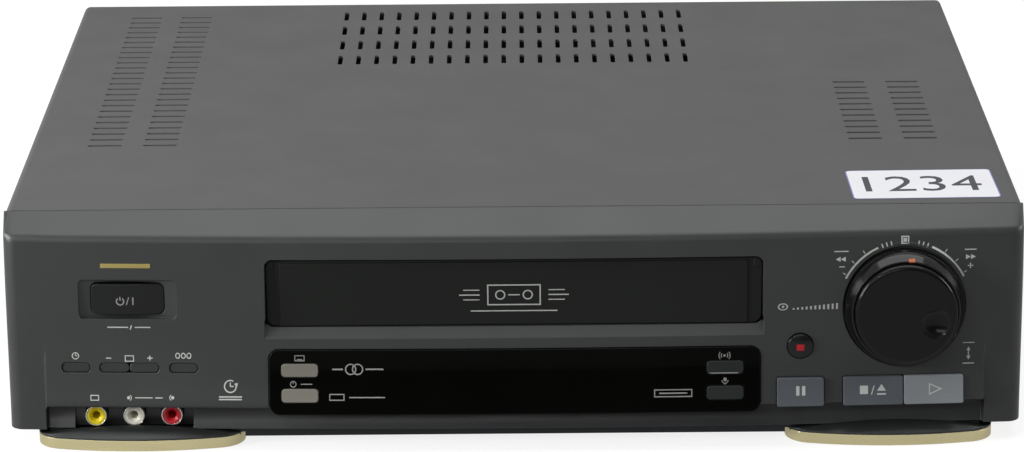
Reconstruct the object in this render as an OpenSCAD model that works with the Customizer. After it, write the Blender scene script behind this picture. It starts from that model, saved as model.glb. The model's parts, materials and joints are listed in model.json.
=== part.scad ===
// Front-loading video cassette recorder, as the separate pieces it is assembled from.
// Millimetres. X runs across the front, Y from the front to the back, Z up from the table.
// "Reach" is how far a point stands forward of the cover's front edge.

/* [Case] */
// Width of the cover and of the front panel
body_w = 400; // [390:1:430]
// Depth of the cover from its front edge to its rear edge
cover_depth = 312; // [305:1:340]
// Height of the top above the table
body_h = 94; // [92:1:110]
// Sheet thickness of the cover
cover_t = 1.2; // [0.8:0.1:1.6]
// Outer radius of the cover's two long bends
cover_r = 3; // [2:0.5:6]
// Height of the cover's lower edges above the table
cover_low = 9; // [7:0.5:12]
// Shadow gap between the cover and the front panel
seam = 0.4; // [0.3:0.1:0.8]
// Height of the chassis floor above the table
floor_z = 5; // [4.6:0.1:6]
// Sheet thickness of the chassis and of the rear panel
sheet_t = 1.2; // [0.8:0.1:1.5]
// Reach of the chassis hem under the front panel
hem_reach = 12; // [10:0.5:12]
// Height of the hem's lower edge above the table, between the feet
hem_low = 3.2; // [2.8:0.1:4.4]
// Height of the chassis side flanges
flange_h = 22; // [18:1:30]
// How far the rear panel stands in from the cover's rear edge
rear_inset = 1; // [0.5:0.1:3]
// Clearance between fixed pieces that slip into each other
fit = 0.3; // [0.2:0.05:0.4]
// Radial clearance of a running shaft
run = 0.05; // [0.03:0.01:0.08]

/* [Cover vents] */
// Width of one vent slot
vent_w = 2.1; // [1.5:0.1:3]
// Length of one vent slot
vent_len = 14.4; // [10:0.2:15]
// Distance between side slots, from front to back
side_vent_pitch = 8.5; // [7:0.1:8.6]
// First row of the left slots behind the cover's front edge
left_vent_start = 87; // [80:1:95]
// Rows of the left slots
left_vent_rows = 25; // [15:1:25]
// First row of the right slots behind the cover's front edge
right_vent_start = 89; // [80:1:95]
// Rows of the right slots
right_vent_rows = 11; // [6:1:16]
// Middle of the outer side columns from the middle of the cover
outer_vent_x = 168.7; // [165:0.5:172]
// Middle of the inner side columns from the middle of the cover
inner_vent_x = 145.8; // [142:0.5:148]
// Columns of the middle field
mid_vent_cols = 20; // [10:1:20]
// Distance between the columns of the middle field
mid_vent_pitch = 8.06; // [6:0.1:9]
// Rows of the middle field
mid_vent_rows = 4; // [2:1:4]
// Distance between the rows of the middle field
mid_row_pitch = 25; // [20:0.5:26]
// First row of the middle field behind the cover's front edge
mid_vent_start = 216; // [205:1:220]

/* [Front panel] */
// Reach of the face at its upper edge, at the ends of the panel
top_reach = 10; // [8:0.5:14]
// Extra reach at the waist
face_tilt = 3; // [1:0.5:5]
// Extra reach of the flared lower half at its lip
flare = 5; // [3:0.5:7]
// Extra reach of the middle of the bowed panel
bow = 5.5; // [3:0.5:8]
// How far below the top the rolled edge ends and the face begins
edge_drop = 7.8; // [5:0.2:9]
// Height of the waist, where the flare starts
waist_z = 50; // [48:0.5:52]
// Height of the flare's lip
lip_z = 18.9; // [18.5:0.1:20]
// Height of the panel's lower edge
panel_low = 7.5; // [7.3:0.1:8.5]
// Reach of the undercut below the lip
under_reach = 8.5; // [7:0.5:10]
// Reach of the panel's lower edge
low_reach = 11.5; // [10:0.5:13]
// Width of the flared lower half
flare_w = 370; // [366:1:372]
// Plan radius of the panel's two front corners
corner_r = 5; // [3:0.5:8]
// Wall thickness of the moulded panel
panel_wall = 2.5; // [2:0.1:3]

/* [Cassette door] */
// Width of the door opening
door_w = 195; // [192:1:196]
// Lower edge of the door opening
door_low = 49.5; // [49:0.1:50]
// Upper edge of the door opening
door_high = 77.7; // [77.5:0.1:79]
// Corner radius of the door opening
door_r = 3; // [2:0.5:4]
// How far the door lies behind the panel's face
door_recess = 3; // [2:0.2:3.5]
// Thickness of the door at its raised middle
door_t = 2.2; // [2:0.1:2.4]
// Gap round the door
door_gap = 0.5; // [0.4:0.1:0.8]
// Height of the sloped sill in front of the door
sill_h = 3.7; // [3:0.1:4.5]
// Width of the raised middle of the door
door_mid_w = 183; // [176:1:186]
// Radius of the door's hinge pins
door_pin_r = 1; // [0.8:0.1:1.2]

/* [Display window] */
// Width of the window
window_w = 193; // [186:1:194]
// Upper edge of the window
window_high = 41.3; // [40:0.1:42]
// Lower edge of the window, just below the lip
window_low = 16.2; // [16:0.1:17.5]
// Corner radius of the window
window_r = 4; // [2:0.5:5]
// How far the window stands proud of the face
window_proud = 0.4; // [0.2:0.1:0.8]
// Thickness of the window
window_t = 2; // [1.5:0.1:2.2]
// Width of a window key
pane_key_w = 14.4; // [12:0.2:15]
// Height of a window key
pane_key_h = 5; // [4:0.1:5.4]
// Middle of the left window keys
left_key_x = -84.4; // [-86:0.2:-82]
// Middle of the right window keys
right_key_x = 82.6; // [80:0.2:85]
// Height of the upper window keys
upper_key_z = 33.3; // [32.6:0.1:33.8]
// Height of the lower window keys
lower_key_z = 23.5; // [23:0.1:24.5]

/* [Left keys] */
// Middle of the power key
power_x = -151.5; // [-153:0.5:-150]
// Height of the power key's middle
power_z = 61.6; // [60:0.2:63]
// Width of the power key
power_w = 28.6; // [26:0.2:29.5]
// Height of the power key
power_h = 12.4; // [11:0.2:12.8]
// Width of the scoop round the power key
scoop_w = 38.4; // [36:0.2:41]
// Height of the scoop
scoop_h = 16; // [14.5:0.1:17]
// Depth of the scoop
scoop_depth = 3; // [2:0.2:3.4]
// Depth of the scoop at its two ends
scoop_edge = 1; // [0.4:0.1:1.4]
// Height of the middle of the bar keys
bar_z = 33.9; // [33:0.1:35]
// Height of a bar key
bar_h = 3.5; // [3.4:0.1:4.4]
// Corner radius of a bar key
bar_r = 1.5; // [0.8:0.1:1.6]
// Middle of the timer key
timer_x = -172.6; // [-173.5:0.1:-171.5]
// Width of the timer key and of the counter key
bar_w = 10.8; // [9:0.1:11.6]
// Middle of the channel keys
channel_x = -151.5; // [-153:0.1:-150.5]
// Width of each channel key
channel_w = 11.4; // [10:0.1:12.2]
// Middle of the counter key
counter_x = -130.1; // [-131:0.1:-129]

/* [Transport keys] */
// Height of the lower edge of the transport keys
transport_low = 18; // [17.8:0.1:18.5]
// Height of the upper edge of the transport keys
transport_high = 28.7; // [28:0.1:29.6]
// Middle of the pause key
pause_x = 112.2; // [111:0.1:113]
// Width of the pause key
pause_w = 18.4; // [17:0.1:20]
// Middle of the stop and eject key
stop_x = 140.8; // [140:0.1:141]
// Middle of the play key
play_x = 164.7; // [164.5:0.1:165]
// Width of the stop key and of the play key
stop_w = 23.4; // [20:0.1:23.4]
// How far the transport keys stand proud of the face
key_proud = 1.3; // [0.8:0.1:2]
// Middle of the record key
record_x = 112.2; // [111:0.1:114]
// Height of the record key
record_z = 41.1; // [39:0.1:42]
// Radius of the record key
record_r = 4.95; // [4:0.05:5.5]
// Travel of every key
key_travel = 0.8; // [0.4:0.1:1]
// Gap round every key
key_gap = 0.3; // [0.25:0.05:0.4]

/* [Dial] */
// Middle of the dial
dial_x = 152.9; // [151:0.1:154]
// Height of the dial's axis
dial_z = 56.4; // [56:0.1:58]
// Radius of the shuttle ring at the face
ring_r = 23.7; // [22:0.1:24]
// Radius of the shuttle ring at its front edge
ring_front_r = 21.2; // [20.9:0.1:21.6]
// How far the shuttle ring stands proud
ring_proud = 8; // [6:0.2:9]
// Radius of the jog dial
jog_r = 20.2; // [18:0.1:20.3]
// How far the jog dial stands proud
jog_proud = 11; // [9.5:0.2:12]
// Radius of the finger dimple
dimple_r = 5.7; // [4:0.1:6.2]
// Depth of the finger dimple
dimple_depth = 2; // [1:0.1:2.4]
// Distance of the dimple from the dial's axis
dimple_at = 12; // [10:0.2:12.5]
// Radius of the dial's shaft
jog_shaft_r = 3; // [2.5:0.1:3.2]

/* [Front jacks] */
// Middle of the middle jack
jack_x = -150.7; // [-151:0.1:-149]
// Distance between the jacks
jack_pitch = 15; // [14:0.1:15.6]
// Height of the jacks
jack_z = 12.9; // [12.8:0.1:14.3]
// Outer radius of a jack's shell
jack_r = 4.15; // [4:0.05:4.2]
// Radius of a jack's middle hole
jack_bore_r = 1.6; // [1.5:0.05:1.8]
// Depth of a jack's middle hole
jack_bore_len = 9; // [8:0.5:10]
// Reach of a jack's front edge
jack_reach = 14; // [11.5:0.1:14]
// Width of the recess round the jacks
jack_bay_w = 47; // [44:0.5:48]

/* [Feet] */
// Middle of each front foot
foot_x = 148.3; // [147.5:0.1:149]
// Width of each front foot
foot_w = 82; // [78:1:83]
// Reach of the front feet
foot_reach = 20.6; // [20:0.1:21.4]
// Plan radius of the front of each foot
foot_front_r = 150; // [120:1:200]
// Corner radius of each foot
foot_corner_r = 11; // [8:0.5:13]
// Depth of each front foot
foot_depth = 52; // [45:1:60]
// Height of the coloured band round each foot
band_h = 4.6; // [4:0.1:4.9]
// Height of the band's lower edge above the table
band_lift = 0.3; // [0.2:0.1:1]
// Thickness of the band
band_t = 1.2; // [0.8:0.1:1.6]
// Radius of the rear feet
rear_foot_r = 11; // [8:0.5:14]

/* [Rear sockets] */
// Middle of the lower video socket
scart_x = -20; // [-25:1:-15]
// Height of the lower video socket
scart_z = 30; // [26:1:32]
// Height between the video sockets
scart_pitch = 28; // [26:0.5:32]
// Width of a video socket
scart_w = 52; // [50:0.5:54]
// Height of a video socket
scart_h = 15; // [14:0.5:16]
// Middle of the aerial sockets
aerial_x = 60; // [55:1:66]
// Height of the aerial input
aerial_z = 58; // [54:1:60]
// Distance between the aerial sockets
aerial_pitch = 18; // [16:0.5:20]
// Radius of the aerial sockets
aerial_r = 4.75; // [4.5:0.05:5]
// How far the aerial sockets stand behind the cover
rear_reach = 6; // [5:0.5:8]
// Middle of the rear audio jacks
rear_jack_x = 100; // [95:1:106]
// Middle of the mains inlet
inlet_x = -150; // [-160:1:-140]
// Height of the mains inlet
inlet_z = 26; // [22:1:30]

/* [Tape deck] */
// Underside of the deck plate
deck_z = 24; // [23.6:0.1:25]
// Thickness of the deck plate
deck_t = 2; // [1.5:0.1:2.2]
// Half width of the deck plate
deck_half_w = 112; // [110:1:114]
// Depth of the deck plate
deck_len = 212; // [208:1:216]
// Front edge of the deck plate behind the cover's front edge
deck_start = 13; // [12:0.5:15]
// Distance between the reels
reel_pitch = 92; // [92:1:92]
// Axis line of the reels behind the cover's front edge
reel_back = 73.5; // [72:0.5:75]
// Radius of the reel tables
reel_r = 24; // [20:0.5:26]
// Height of the reel hubs above the deck plate
reel_h = 17; // [12:0.5:20]
// Middle of the drum behind the cover's front edge
drum_back = 181.5; // [180:0.5:184]
// Radius of the drum
drum_r = 31; // [30:0.5:32]
// Tilt of the drum
drum_tilt = 6; // [0:0.5:7]
// Capstan's distance to the right
capstan_x = 58; // [57:0.5:60]
// Capstan's distance behind the cover's front edge
capstan_back = 133.5; // [132:0.5:135]
// Radius of the capstan shaft
capstan_r = 2; // [1.5:0.1:2.5]
// Radius of the flywheel
flywheel_r = 22; // [18:0.5:23]
// Radius of the guide rails round the drum
guide_r = 43; // [41:0.5:44]
// Radius of the cam gear
cam_r = 19; // [15:0.5:20]

/* [Cassette carriage] */
// Width of the space for the cassette
tape_w = 189.6; // [189:0.1:190]
// Height of the space for the cassette
tape_h = 26.6; // [26:0.1:26.8]
// Height of the cassette's underside before it is lowered
tape_z = 49.9; // [49.8:0.1:50.3]
// Front edge of the cassette holder behind the cover's front edge
holder_start = 17.5; // [17:0.5:20]
// Depth of the cassette holder
holder_len = 78; // [70:1:80]
// Sheet thickness of the holder
holder_t = 1.2; // [1:0.1:1.4]
// How far the holder is drawn in
load_in = 30; // [20:1:30]
// How far the holder is lowered
load_drop = 19; // [15:0.5:19]
// Radius of the holder's side pins
pin_r = 2; // [1.5:0.1:2.4]

/* [Hidden] */
half_w = body_w/2;
edge_z = body_h - edge_drop;
inner_half = half_w - cover_t - fit;
bow_r = half_w*half_w/(2*bow);
dial_reach = reach(dial_x, dial_z) + jog_proud;
y_front = (dial_reach - cover_depth - rear_reach)/2;
y_back = y_front + cover_depth;
rear_y = y_back - rear_inset - sheet_t;
floor_top = floor_z + sheet_t;
inner_top = body_h - cover_t - fit;
board_t = 1.6;
board_y = y_front + 2;
switch_h = 3.5;
plunger_h = 1;
deck_top = deck_z + deck_t;
reel_y = y_front + reel_back;
drum_y = y_front + drum_back;
capstan_y = y_front + capstan_back;
holder_y = y_front + holder_start;
holder_half = tape_w/2 + holder_t;
side_plate_x = holder_half + 2.5;
side_plate_t = 1.2;
slider_x = side_plate_x + side_plate_t + 0.5;
slider_t = 1.2;
hole_play = 0.3;
holder_top = tape_z + tape_h + holder_t;
spare_h = inner_top - holder_top;
rod_r = 1.5;
rod_z = holder_top + rod_r + 0.3 + spare_h/15;
side_top = rod_z + rod_r + 0.6 + spare_h/12;
pin_z = tape_z + tape_h/2;
pin_ys = [holder_y + 18, holder_y + 60];
$fn = 64;

// Shape of the bowed face: reach at a place, its plan angle, and points along its height.
function sq(v) = v*v;
function bow_at(x) = bow*(1 - sq(x/half_w));
function tilt_at(z) = top_reach + face_tilt*(1 - sq((max(z, waist_z) - waist_z)/(edge_z - waist_z)));
function flare_at(z) = flare*sq((waist_z - min(z, waist_z))/(waist_z - lip_z));
function reach(x, z) = tilt_at(z) + flare_at(z) + bow_at(x);
function face_y(x, z) = y_front - reach(x, z);
function bow_turn(x) = atan(2*bow*x/sq(half_w));
function steps(a, b, n) = [for (i = [0:n]) a + (b - a)*i/n];
function bend(p, q, r, n) = [for (i = [0:n]) let (t = i/n) sq(1 - t)*p + 2*t*(1 - t)*q + sq(t)*r];

module rounded(w, h, r) {
    square([w - 2*r, h], center = true);
    square([w, h - 2*r], center = true);
    for (sx = [-1, 1], sz = [-1, 1])
        translate([sx*(w/2 - r), sz*(h/2 - r)]) circle(r);
}

// A rounded prism along Y, from y0 back to y1.
module prism_y(x, z, w, h, r, y0, y1) {
    translate([x, y1, z]) rotate([90, 0, 0]) linear_extrude(y1 - y0) rounded(w, h, r);
}

module rod_y(x, z, r, y0, y1) {
    translate([x, y1, z]) rotate([90, 0, 0]) cylinder(h = y1 - y0, r = r);
}

module rod_x(y, z, r, x0, x1) {
    translate([x0, y, z]) rotate([0, 90, 0]) cylinder(h = x1 - x0, r = r);
}

module block(x0, x1, y0, y1, z0, z1) {
    translate([x0, y0, z0]) cube([x1 - x0, y1 - y0, z1 - z0]);
}

// Turns a profile of reach and height about the bow's far centre, from x0 to x1.
module bowed(x0, x1) {
    a0 = asin(x0/bow_r);
    a1 = asin(x1/bow_r);
    translate([0, y_front - bow + bow_r, 0]) rotate([0, 0, a0 - 90])
        rotate_extrude(angle = a1 - a0, $fn = 720) translate([bow_r, 0]) children();
}

// A slice of the face at x, from `front` proud of it to `back` behind it.
module face_slice(x, w, z0, z1, front, back) {
    zs = steps(z0, z1, 5);
    here = face_y(x, (z0 + z1)/2);
    translate([x, here, 0]) rotate([0, 0, bow_turn(x)]) rotate([90, 0, 90])
        translate([0, 0, -w/2]) linear_extrude(w)
            polygon(concat(
                [for (z = zs) [face_y(x, z) - here - front, z]],
                [[back, z1], [back, z0]]));
}

// Front panel: a lofted skin whose stations run from end to end.
function wing_part(x) = min(1, max(0, (abs(x) - flare_w/2)/0.8 + 0.5));
function end_squeeze(x) = let (d = max(0, abs(x) - half_w + corner_r))
    1 - (corner_r - sqrt(max(0, sq(corner_r) - sq(d))))/(top_reach + face_tilt);
function mix(a, b, t) = a*(1 - t) + b*t;

function roll_points(x) = let (
    start = [seam, body_h],
    edge = [reach(x, edge_z), edge_z],
    near = mix(start, edge, 0.86),
    low = [reach(x, edge_z - 2.4), edge_z - 2.4])
    concat([start], bend(near, edge, low, 4));

function skin_face(x) = let (w = wing_part(x))
    [for (z = concat(steps(edge_z - 12, waist_z, 3), steps(waist_z - 4, lip_z + 2.2, 7)))
        [tilt_at(z) + flare_at(z)*(1 - w) + bow_at(x), z]];

function lip_points(x) = let (
    w = wing_part(x),
    b = bow_at(x),
    out = tilt_at(lip_z) + flare*(1 - w) + b,
    root = mix(under_reach, tilt_at(lip_z), w) + b,
    foot = mix(low_reach, tilt_at(lip_z) + 0.6, w) + b,
    lip = bend([out - 0.5*(1 - w), lip_z + 1.2], [out, lip_z], [out - 1.3*(1 - w), lip_z - 0.8], 3))
    concat(lip,
        [for (t = [0.12, 0.3, 0.55, 0.8, 1])
            [mix(root, foot, sq(t)), mix(lip_z - 2.4, panel_low, t)]],
        [[mix(seam, foot, 0.96), panel_low - 0.3], [seam, panel_low - 0.3]]);

function outer_section(x) = let (s = end_squeeze(x))
    [for (p = concat(roll_points(x), skin_face(x), lip_points(x)))
        [seam + (p[0] - seam)*s, p[1]]];

function past(x, edge) = min(1, max(0, (abs(x) - edge)/0.6 + 0.5));
function inner_section(x) = let (
    b = bow_at(x),
    t = panel_wall,
    w = past(x, flare_w/2 - panel_wall),
    deep = past(x, flare_w/2 + panel_wall),
    root = mix(under_reach, tilt_at(lip_z) - 0.2, deep) + b - t,
    foot = mix(low_reach - 0.6, tilt_at(lip_z) - 0.2, deep) + b - t)
    concat(
        [[seam - 2, body_h - t], [seam + 1, body_h - t]],
        [for (z = [edge_z - 1.2, 70, waist_z, 40, 32, 26, lip_z + t + 0.6])
            [tilt_at(z) + flare_at(z)*(1 - w) + b - t - 0.2, z]],
        [[root, lip_z + 0.4], [root, 13], [foot, panel_low + t], [seam - 2, panel_low + t]]);

function stations() = let (
    ends = [for (a = [90, 66, 42, 20, 0]) half_w - corner_r + corner_r*sin(a)],
    side = [flare_w/2 + 4, flare_w/2 + 0.4, flare_w/2 - 0.4],
    mid = steps(flare_w/2 - 8, 8 - flare_w/2, 14))
    concat([for (x = ends) x], side, mid,
        [for (i = [len(side) - 1:-1:0]) -side[i]], [for (i = [len(ends) - 1:-1:0]) -ends[i]]);

// Stitches sections into a closed skin. Each end is a fan from the section's last point.
module loft(xs, sections) {
    n = len(sections[0]);
    m = len(xs);
    function at(i, j) = i*n + (j % n);
    polyhedron(
        points = [for (i = [0:m - 1]) for (p = sections[i]) [xs[i], y_front - p[0], p[1]]],
        faces = concat(
            [for (i = [0:m - 2], j = [0:n - 1]) [at(i, j), at(i + 1, j + 1), at(i + 1, j)]],
            [for (i = [0:m - 2], j = [0:n - 1]) [at(i, j), at(i, j + 1), at(i + 1, j + 1)]],
            [for (j = [0:n - 3]) [at(0, n - 1), at(0, j + 1), at(0, j)]],
            [for (j = [0:n - 3]) [at(m - 1, n - 1), at(m - 1, j), at(m - 1, j + 1)]]));
}

function inner_stations() = let (
    wing = flare_w/2 - panel_wall,
    side = [half_w - panel_wall - 2, flare_w/2 + panel_wall + 0.3, flare_w/2 + panel_wall - 0.3,
        wing + 0.3, wing - 0.3])
    concat(side, steps(wing - 10, 10 - wing, 10), [for (i = [4:-1:0]) -side[i]]);

module panel_skin() {
    xs = stations();
    inner = inner_stations();
    difference() {
        loft(xs, [for (x = xs) outer_section(x)]);
        loft(inner, [for (x = inner) inner_section(x)]);
    }
}

module sill_profile(depth) {
    z0 = door_low - sill_h;
    polygon([[tilt_at(z0) + 4, z0 - 4], [tilt_at(z0) + 4, door_low + 4],
        [tilt_at(door_low) - depth, door_low + 4], [tilt_at(door_low) - depth, door_low],
        [tilt_at(z0) + flare_at(z0), z0]]);
}

module panel_body() {
    power_y = face_y(power_x, power_z);
    dial_y = face_y(dial_x, dial_z);
    panel_skin();
    // Wall behind the scoop, seat of the dial, sill of the door and wall of the jack bay
    block(power_x - scoop_w/2 - 2, power_x + scoop_w/2 + 2, power_y + 2, power_y + 7,
        power_z - scoop_h/2 - 2, power_z + scoop_h/2 + 2);
    rod_y(dial_x, dial_z, ring_r + 2, dial_y + 2, dial_y + 6);
    bowed(-door_w/2 - 2, door_w/2 + 2) translate([tilt_at(door_low) - 8, door_low - sill_h - 2.5])
        square([7, sill_h + 3.5]);
    block(jack_x - jack_bay_w/2 - 2, jack_x + jack_bay_w/2 + 2, bay_y(), bay_y() + 2,
        panel_low + 1, lip_z + 1);
    for (s = [-1, 1]) hinge_ear(s);
}

module door_cuts() {
    door_h = door_high - door_low;
    prism_y(0, door_low + door_h/2, door_w, door_h, door_r, y_front - 40, y_front + 4);
    bowed(-door_w/2, door_w/2) sill_profile(door_recess + 0.4);
    // Behind its front wall the opening has square upper corners, for the door's edges as it opens
    block(-door_w/2, door_w/2, hinge_y() - 1.6, y_front + 4, door_high - door_r - 1, door_high);
    rod_x(hinge_y(), hinge_z(), door_pin_r + run, -door_w/2 - 3.2, door_w/2 + 3.2);
}

module window_cuts() {
    intersection() {
        bowed(-window_w/2 - 2, window_w/2 + 2) pane_profile(fit, 3);
        prism_y(0, (window_low + window_high)/2, window_w + 2*fit,
            window_high - window_low + 2*fit, window_r + fit, y_front - 40, y_front);
    }
    block(-window_w/2 + 3, window_w/2 - 3, y_front - 40, y_front + 1,
        lip_z + 1.6, window_high - 2.5);
}

module left_cuts() {
    power_y = face_y(power_x, power_z);
    dip = scoop_depth - scoop_edge;
    scoop_r = (sq(scoop_w/2) + sq(dip))/(2*dip);
    intersection() {
        translate([power_x, power_y, power_z - scoop_h/2]) rotate([0, 0, bow_turn(power_x)])
            translate([0, scoop_depth - scoop_r, 0]) cylinder(h = scoop_h, r = scoop_r, $fn = 200);
        prism_y(power_x, power_z, scoop_w, scoop_h, 2, power_y - 10, power_y + 8);
    }
    key_hole(power_x, power_z, power_w, power_h, 2.4);
    key_hole(timer_x, bar_z, bar_w, bar_h, bar_r);
    key_hole(channel_x, bar_z, 2*channel_w + key_gap, bar_h, bar_r);
    key_hole(counter_x, bar_z, bar_w, bar_h, bar_r);
    block(jack_x - jack_bay_w/2, jack_x + jack_bay_w/2, y_front - 40, bay_y(),
        panel_low - 1, lip_z - 0.6);
    for (i = [-1:1])
        rod_y(jack_x + i*jack_pitch, jack_z, jack_r + fit, y_front - 40, y_front + 4);
}

module right_cuts() {
    dial_y = face_y(dial_x, dial_z);
    key_hole(pause_x, transport_mid(), pause_w, transport_h(), 1);
    key_hole((stop_x + play_x)/2, transport_mid(), play_x - stop_x + stop_w, transport_h(), 1);
    rod_y(record_x, record_z, record_r + key_gap, y_front - 40, y_front + 4);
    // Pocket of the shuttle ring and hole of its bush
    rod_y(dial_x, dial_z, ring_r + 0.5, y_front - 40, dial_y + 2.6);
    rod_y(dial_x, dial_z, jog_shaft_r + 3, y_front - 40, y_front + 4);
}

module front_panel() color([0.2, 0.21, 0.21])
    difference() {
        difference() {
            difference() {
                difference() {
                    panel_body();
                    door_cuts();
                }
                window_cuts();
            }
            left_cuts();
        }
        right_cuts();
    }

function bay_y() = y_front - jack_reach + 5;
function transport_mid() = (transport_low + transport_high)/2;
function transport_h() = transport_high - transport_low;
function door_y() = face_y(door_w/2, waist_z + 6) + door_recess;
function hinge_z() = door_high - door_gap - 0.9;
function hinge_y() = door_y() + 1.2;

// The hole of a key, a gap larger all round.
module key_hole(x, z, w, h, r) {
    prism_y(x, z, w + 2*key_gap, h + 2*key_gap, r + key_gap, y_front - 40, y_front + 4);
}

// An ear behind each end of the door opening holds a hinge pin. The right one also has the
// peg of the door's spring.
spring_back = 6;
module hinge_ear(s) {
    y = hinge_y();
    x0 = s > 0 ? door_w/2 - 1 : -door_w/2 - 4;
    block(x0, x0 + 5, y - 1.8, y + 9, hinge_z() - 4, hinge_z() + 3.5);
    if (s > 0) rod_x(y + spring_back, hinge_z(), 1.5, x0 + 4.9, x0 + 12);
}

// Cross-section of the window. `grow` widens it for its pocket.
module pane_profile(grow, front) {
    zs = steps(window_low - 3, window_high + 3, 9);
    back = window_t + grow;
    polygon(concat(
        [for (z = zs) [tilt_at(z) + flare_at(z) + window_proud + front, z]],
        [for (i = [len(zs) - 1:-1:0]) let (z = zs[i])
            [tilt_at(z) + flare_at(z) + window_proud - back, z]]));
}

module display_window() color([0.02, 0.02, 0.02]) {
    pane_z = (window_low + window_high)/2;
    difference() {
        intersection() {
            bowed(-window_w/2 - 2, window_w/2 + 2) pane_profile(0, 0);
            prism_y(0, pane_z, window_w, window_high - window_low, window_r,
                y_front - 40, y_front);
        }
        for (x = [left_key_x, right_key_x], z = [upper_key_z, lower_key_z])
            key_hole(x, z, pane_key_w, pane_key_h, 1.5);
    }
}

// Cap, collar behind the wall and stem to the switch.
module key(x, z, w, h, r, proud, collar_at, low_collar = 1) {
    y = face_y(x, z);
    collar = 1.2;
    intersection() {
        face_slice(x, w + 4, z - h/2 - 1, z + h/2 + 1, proud, collar_at + 1);
        prism_y(x, z, w, h, r, y_front - 40, y_front + 10);
    }
    block(x - w/2 - collar, x + w/2 + collar, y + collar_at, y + collar_at + 1.2,
        z - h/2 - collar*low_collar, z + h/2 + collar);
    rod_y(x, z, 1.6, y + collar_at + 1, board_y - switch_h - plunger_h - key_travel - 0.2);
}

module power_button() color([0.05, 0.05, 0.06]) {
    y = face_y(power_x, power_z);
    crown_r = 90;
    intersection() {
        translate([power_x, y + 0.4 + crown_r, power_z - power_h/2])
            cylinder(h = power_h, r = crown_r, $fn = 200);
        prism_y(power_x, power_z, power_w, power_h, 2.4, y - 1, y + 8.5);
    }
    block(power_x - power_w/2 - 1.2, power_x + power_w/2 + 1.2, y + 7.5, y + 8.7,
        power_z - power_h/2 - 1.2, power_z + power_h/2 + 1.2);
    rod_y(power_x, power_z, 1.6, y + 8.6, board_y - switch_h - plunger_h - key_travel - 0.2);
}

module timer_button() color([0.12, 0.12, 0.12]) bar_key(timer_x, bar_w);
module counter_reset_button() color([0.12, 0.12, 0.12]) bar_key(counter_x, bar_w);
module channel_down_button() color([0.12, 0.12, 0.12])
    bar_key(channel_x - (channel_w + key_gap)/2, channel_w, 0);
module channel_up_button() color([0.12, 0.12, 0.12])
    bar_key(channel_x + (channel_w + key_gap)/2, channel_w, 0);

// A bar key, set slightly back in its hole. The channel keys meet in the middle without a collar.
module bar_key(x, w, side_collar = 1) {
    y = face_y(x, bar_z);
    collar = 1.2;
    intersection() {
        face_slice(x, w + 4, bar_z - bar_h/2 - 1, bar_z + bar_h/2 + 1, -0.5, 5);
        prism_y(x, bar_z, w, bar_h, bar_r, y_front - 40, y_front + 10);
    }
    block(x - w/2 - collar*side_collar, x + w/2 + collar*side_collar, y + 4, y + 5.2,
        bar_z - bar_h/2 - collar, bar_z + bar_h/2 + collar);
    rod_y(x, bar_z, 1.4, y + 5, board_y - switch_h - plunger_h - key_travel - 0.2);
}

module picture_mode_button() color([0.5, 0.49, 0.47])
    key(left_key_x, upper_key_z, pane_key_w, pane_key_h, 1.4, 0.8, 3.4);
module auto_timer_button() color([0.5, 0.49, 0.47])
    key(left_key_x, lower_key_z, pane_key_w, pane_key_h, 1.4, 0.8, 3.4, 0);
module surround_button() color([0.1, 0.1, 0.1])
    key(right_key_x, upper_key_z, pane_key_w, pane_key_h, 1.4, 0.8, 3.4);
module dub_button() color([0.1, 0.1, 0.1])
    key(right_key_x, lower_key_z, pane_key_w, pane_key_h, 1.4, 0.8, 3.4, 0);

module pause_button() color([0.16, 0.17, 0.18]) transport_key(pause_x, pause_w, 1, 1);
module stop_eject_button() color([0.16, 0.17, 0.18]) transport_key(stop_x, stop_w, 1, 0);
module play_button() color([0.2, 0.21, 0.22]) transport_key(play_x, stop_w, 0, 1);

module transport_key(x, w, left, right) {
    z = transport_mid();
    h = transport_h();
    y = face_y(x, z);
    collar = 1.2;
    intersection() {
        face_slice(x, w + 4, z - h/2 - 1, z + h/2 + 1, key_proud, 8);
        prism_y(x, z, w, h, 0.8, y_front - 40, y_front + 10);
    }
    block(x - w/2 - collar*left, x + w/2 + collar*right, y + 6.6, y + 8,
        transport_low + 4, transport_high + collar);
    rod_y(x, z, 1.6, y + 7.8, board_y - switch_h - plunger_h - key_travel - 0.2);
}

module record_button() color([0.05, 0.05, 0.05]) {
    y = face_y(record_x, record_z);
    dome_r = 14;
    intersection() {
        rod_y(record_x, record_z, record_r, y - 2, y + 5);
        translate([record_x, y - 1.6 + dome_r, record_z]) sphere(dome_r, $fn = 120);
    }
    rod_y(record_x, record_z, record_r + 1.2, y + 4.5, y + 5.7);
    rod_y(record_x, record_z, 1.6, y + 5.6, board_y - switch_h - plunger_h - key_travel - 0.2);
}

// Dial pieces are turned about an axis that points out of the panel.
module on_dial(y) {
    translate([dial_x, y, dial_z]) rotate([90, 0, 0]) children();
}

module shuttle_ring() color([0.06, 0.06, 0.06]) {
    y = face_y(dial_x, dial_z);
    bore = jog_r + 0.3;
    hub = jog_shaft_r + 2.5;
    on_dial(y) {
        rotate_extrude() polygon([[jog_shaft_r + run, -2.2], [ring_r - 0.8, -2.2],
            [ring_r, -1.4], [ring_r, 1.6], [ring_r - 0.3, 3.6], [ring_r - 1, 5.4],
            [mix(ring_r, ring_front_r, 0.8), ring_proud - 0.9], [ring_front_r, ring_proud],
            [bore, ring_proud], [bore, -0.6], [jog_shaft_r + run, -0.6]]);
        translate([0, 0, -10]) difference() {
            cylinder(h = 8, r = hub);
            translate([0, 0, -1]) cylinder(h = 10, r = jog_shaft_r + run);
        }
    }
}

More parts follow.
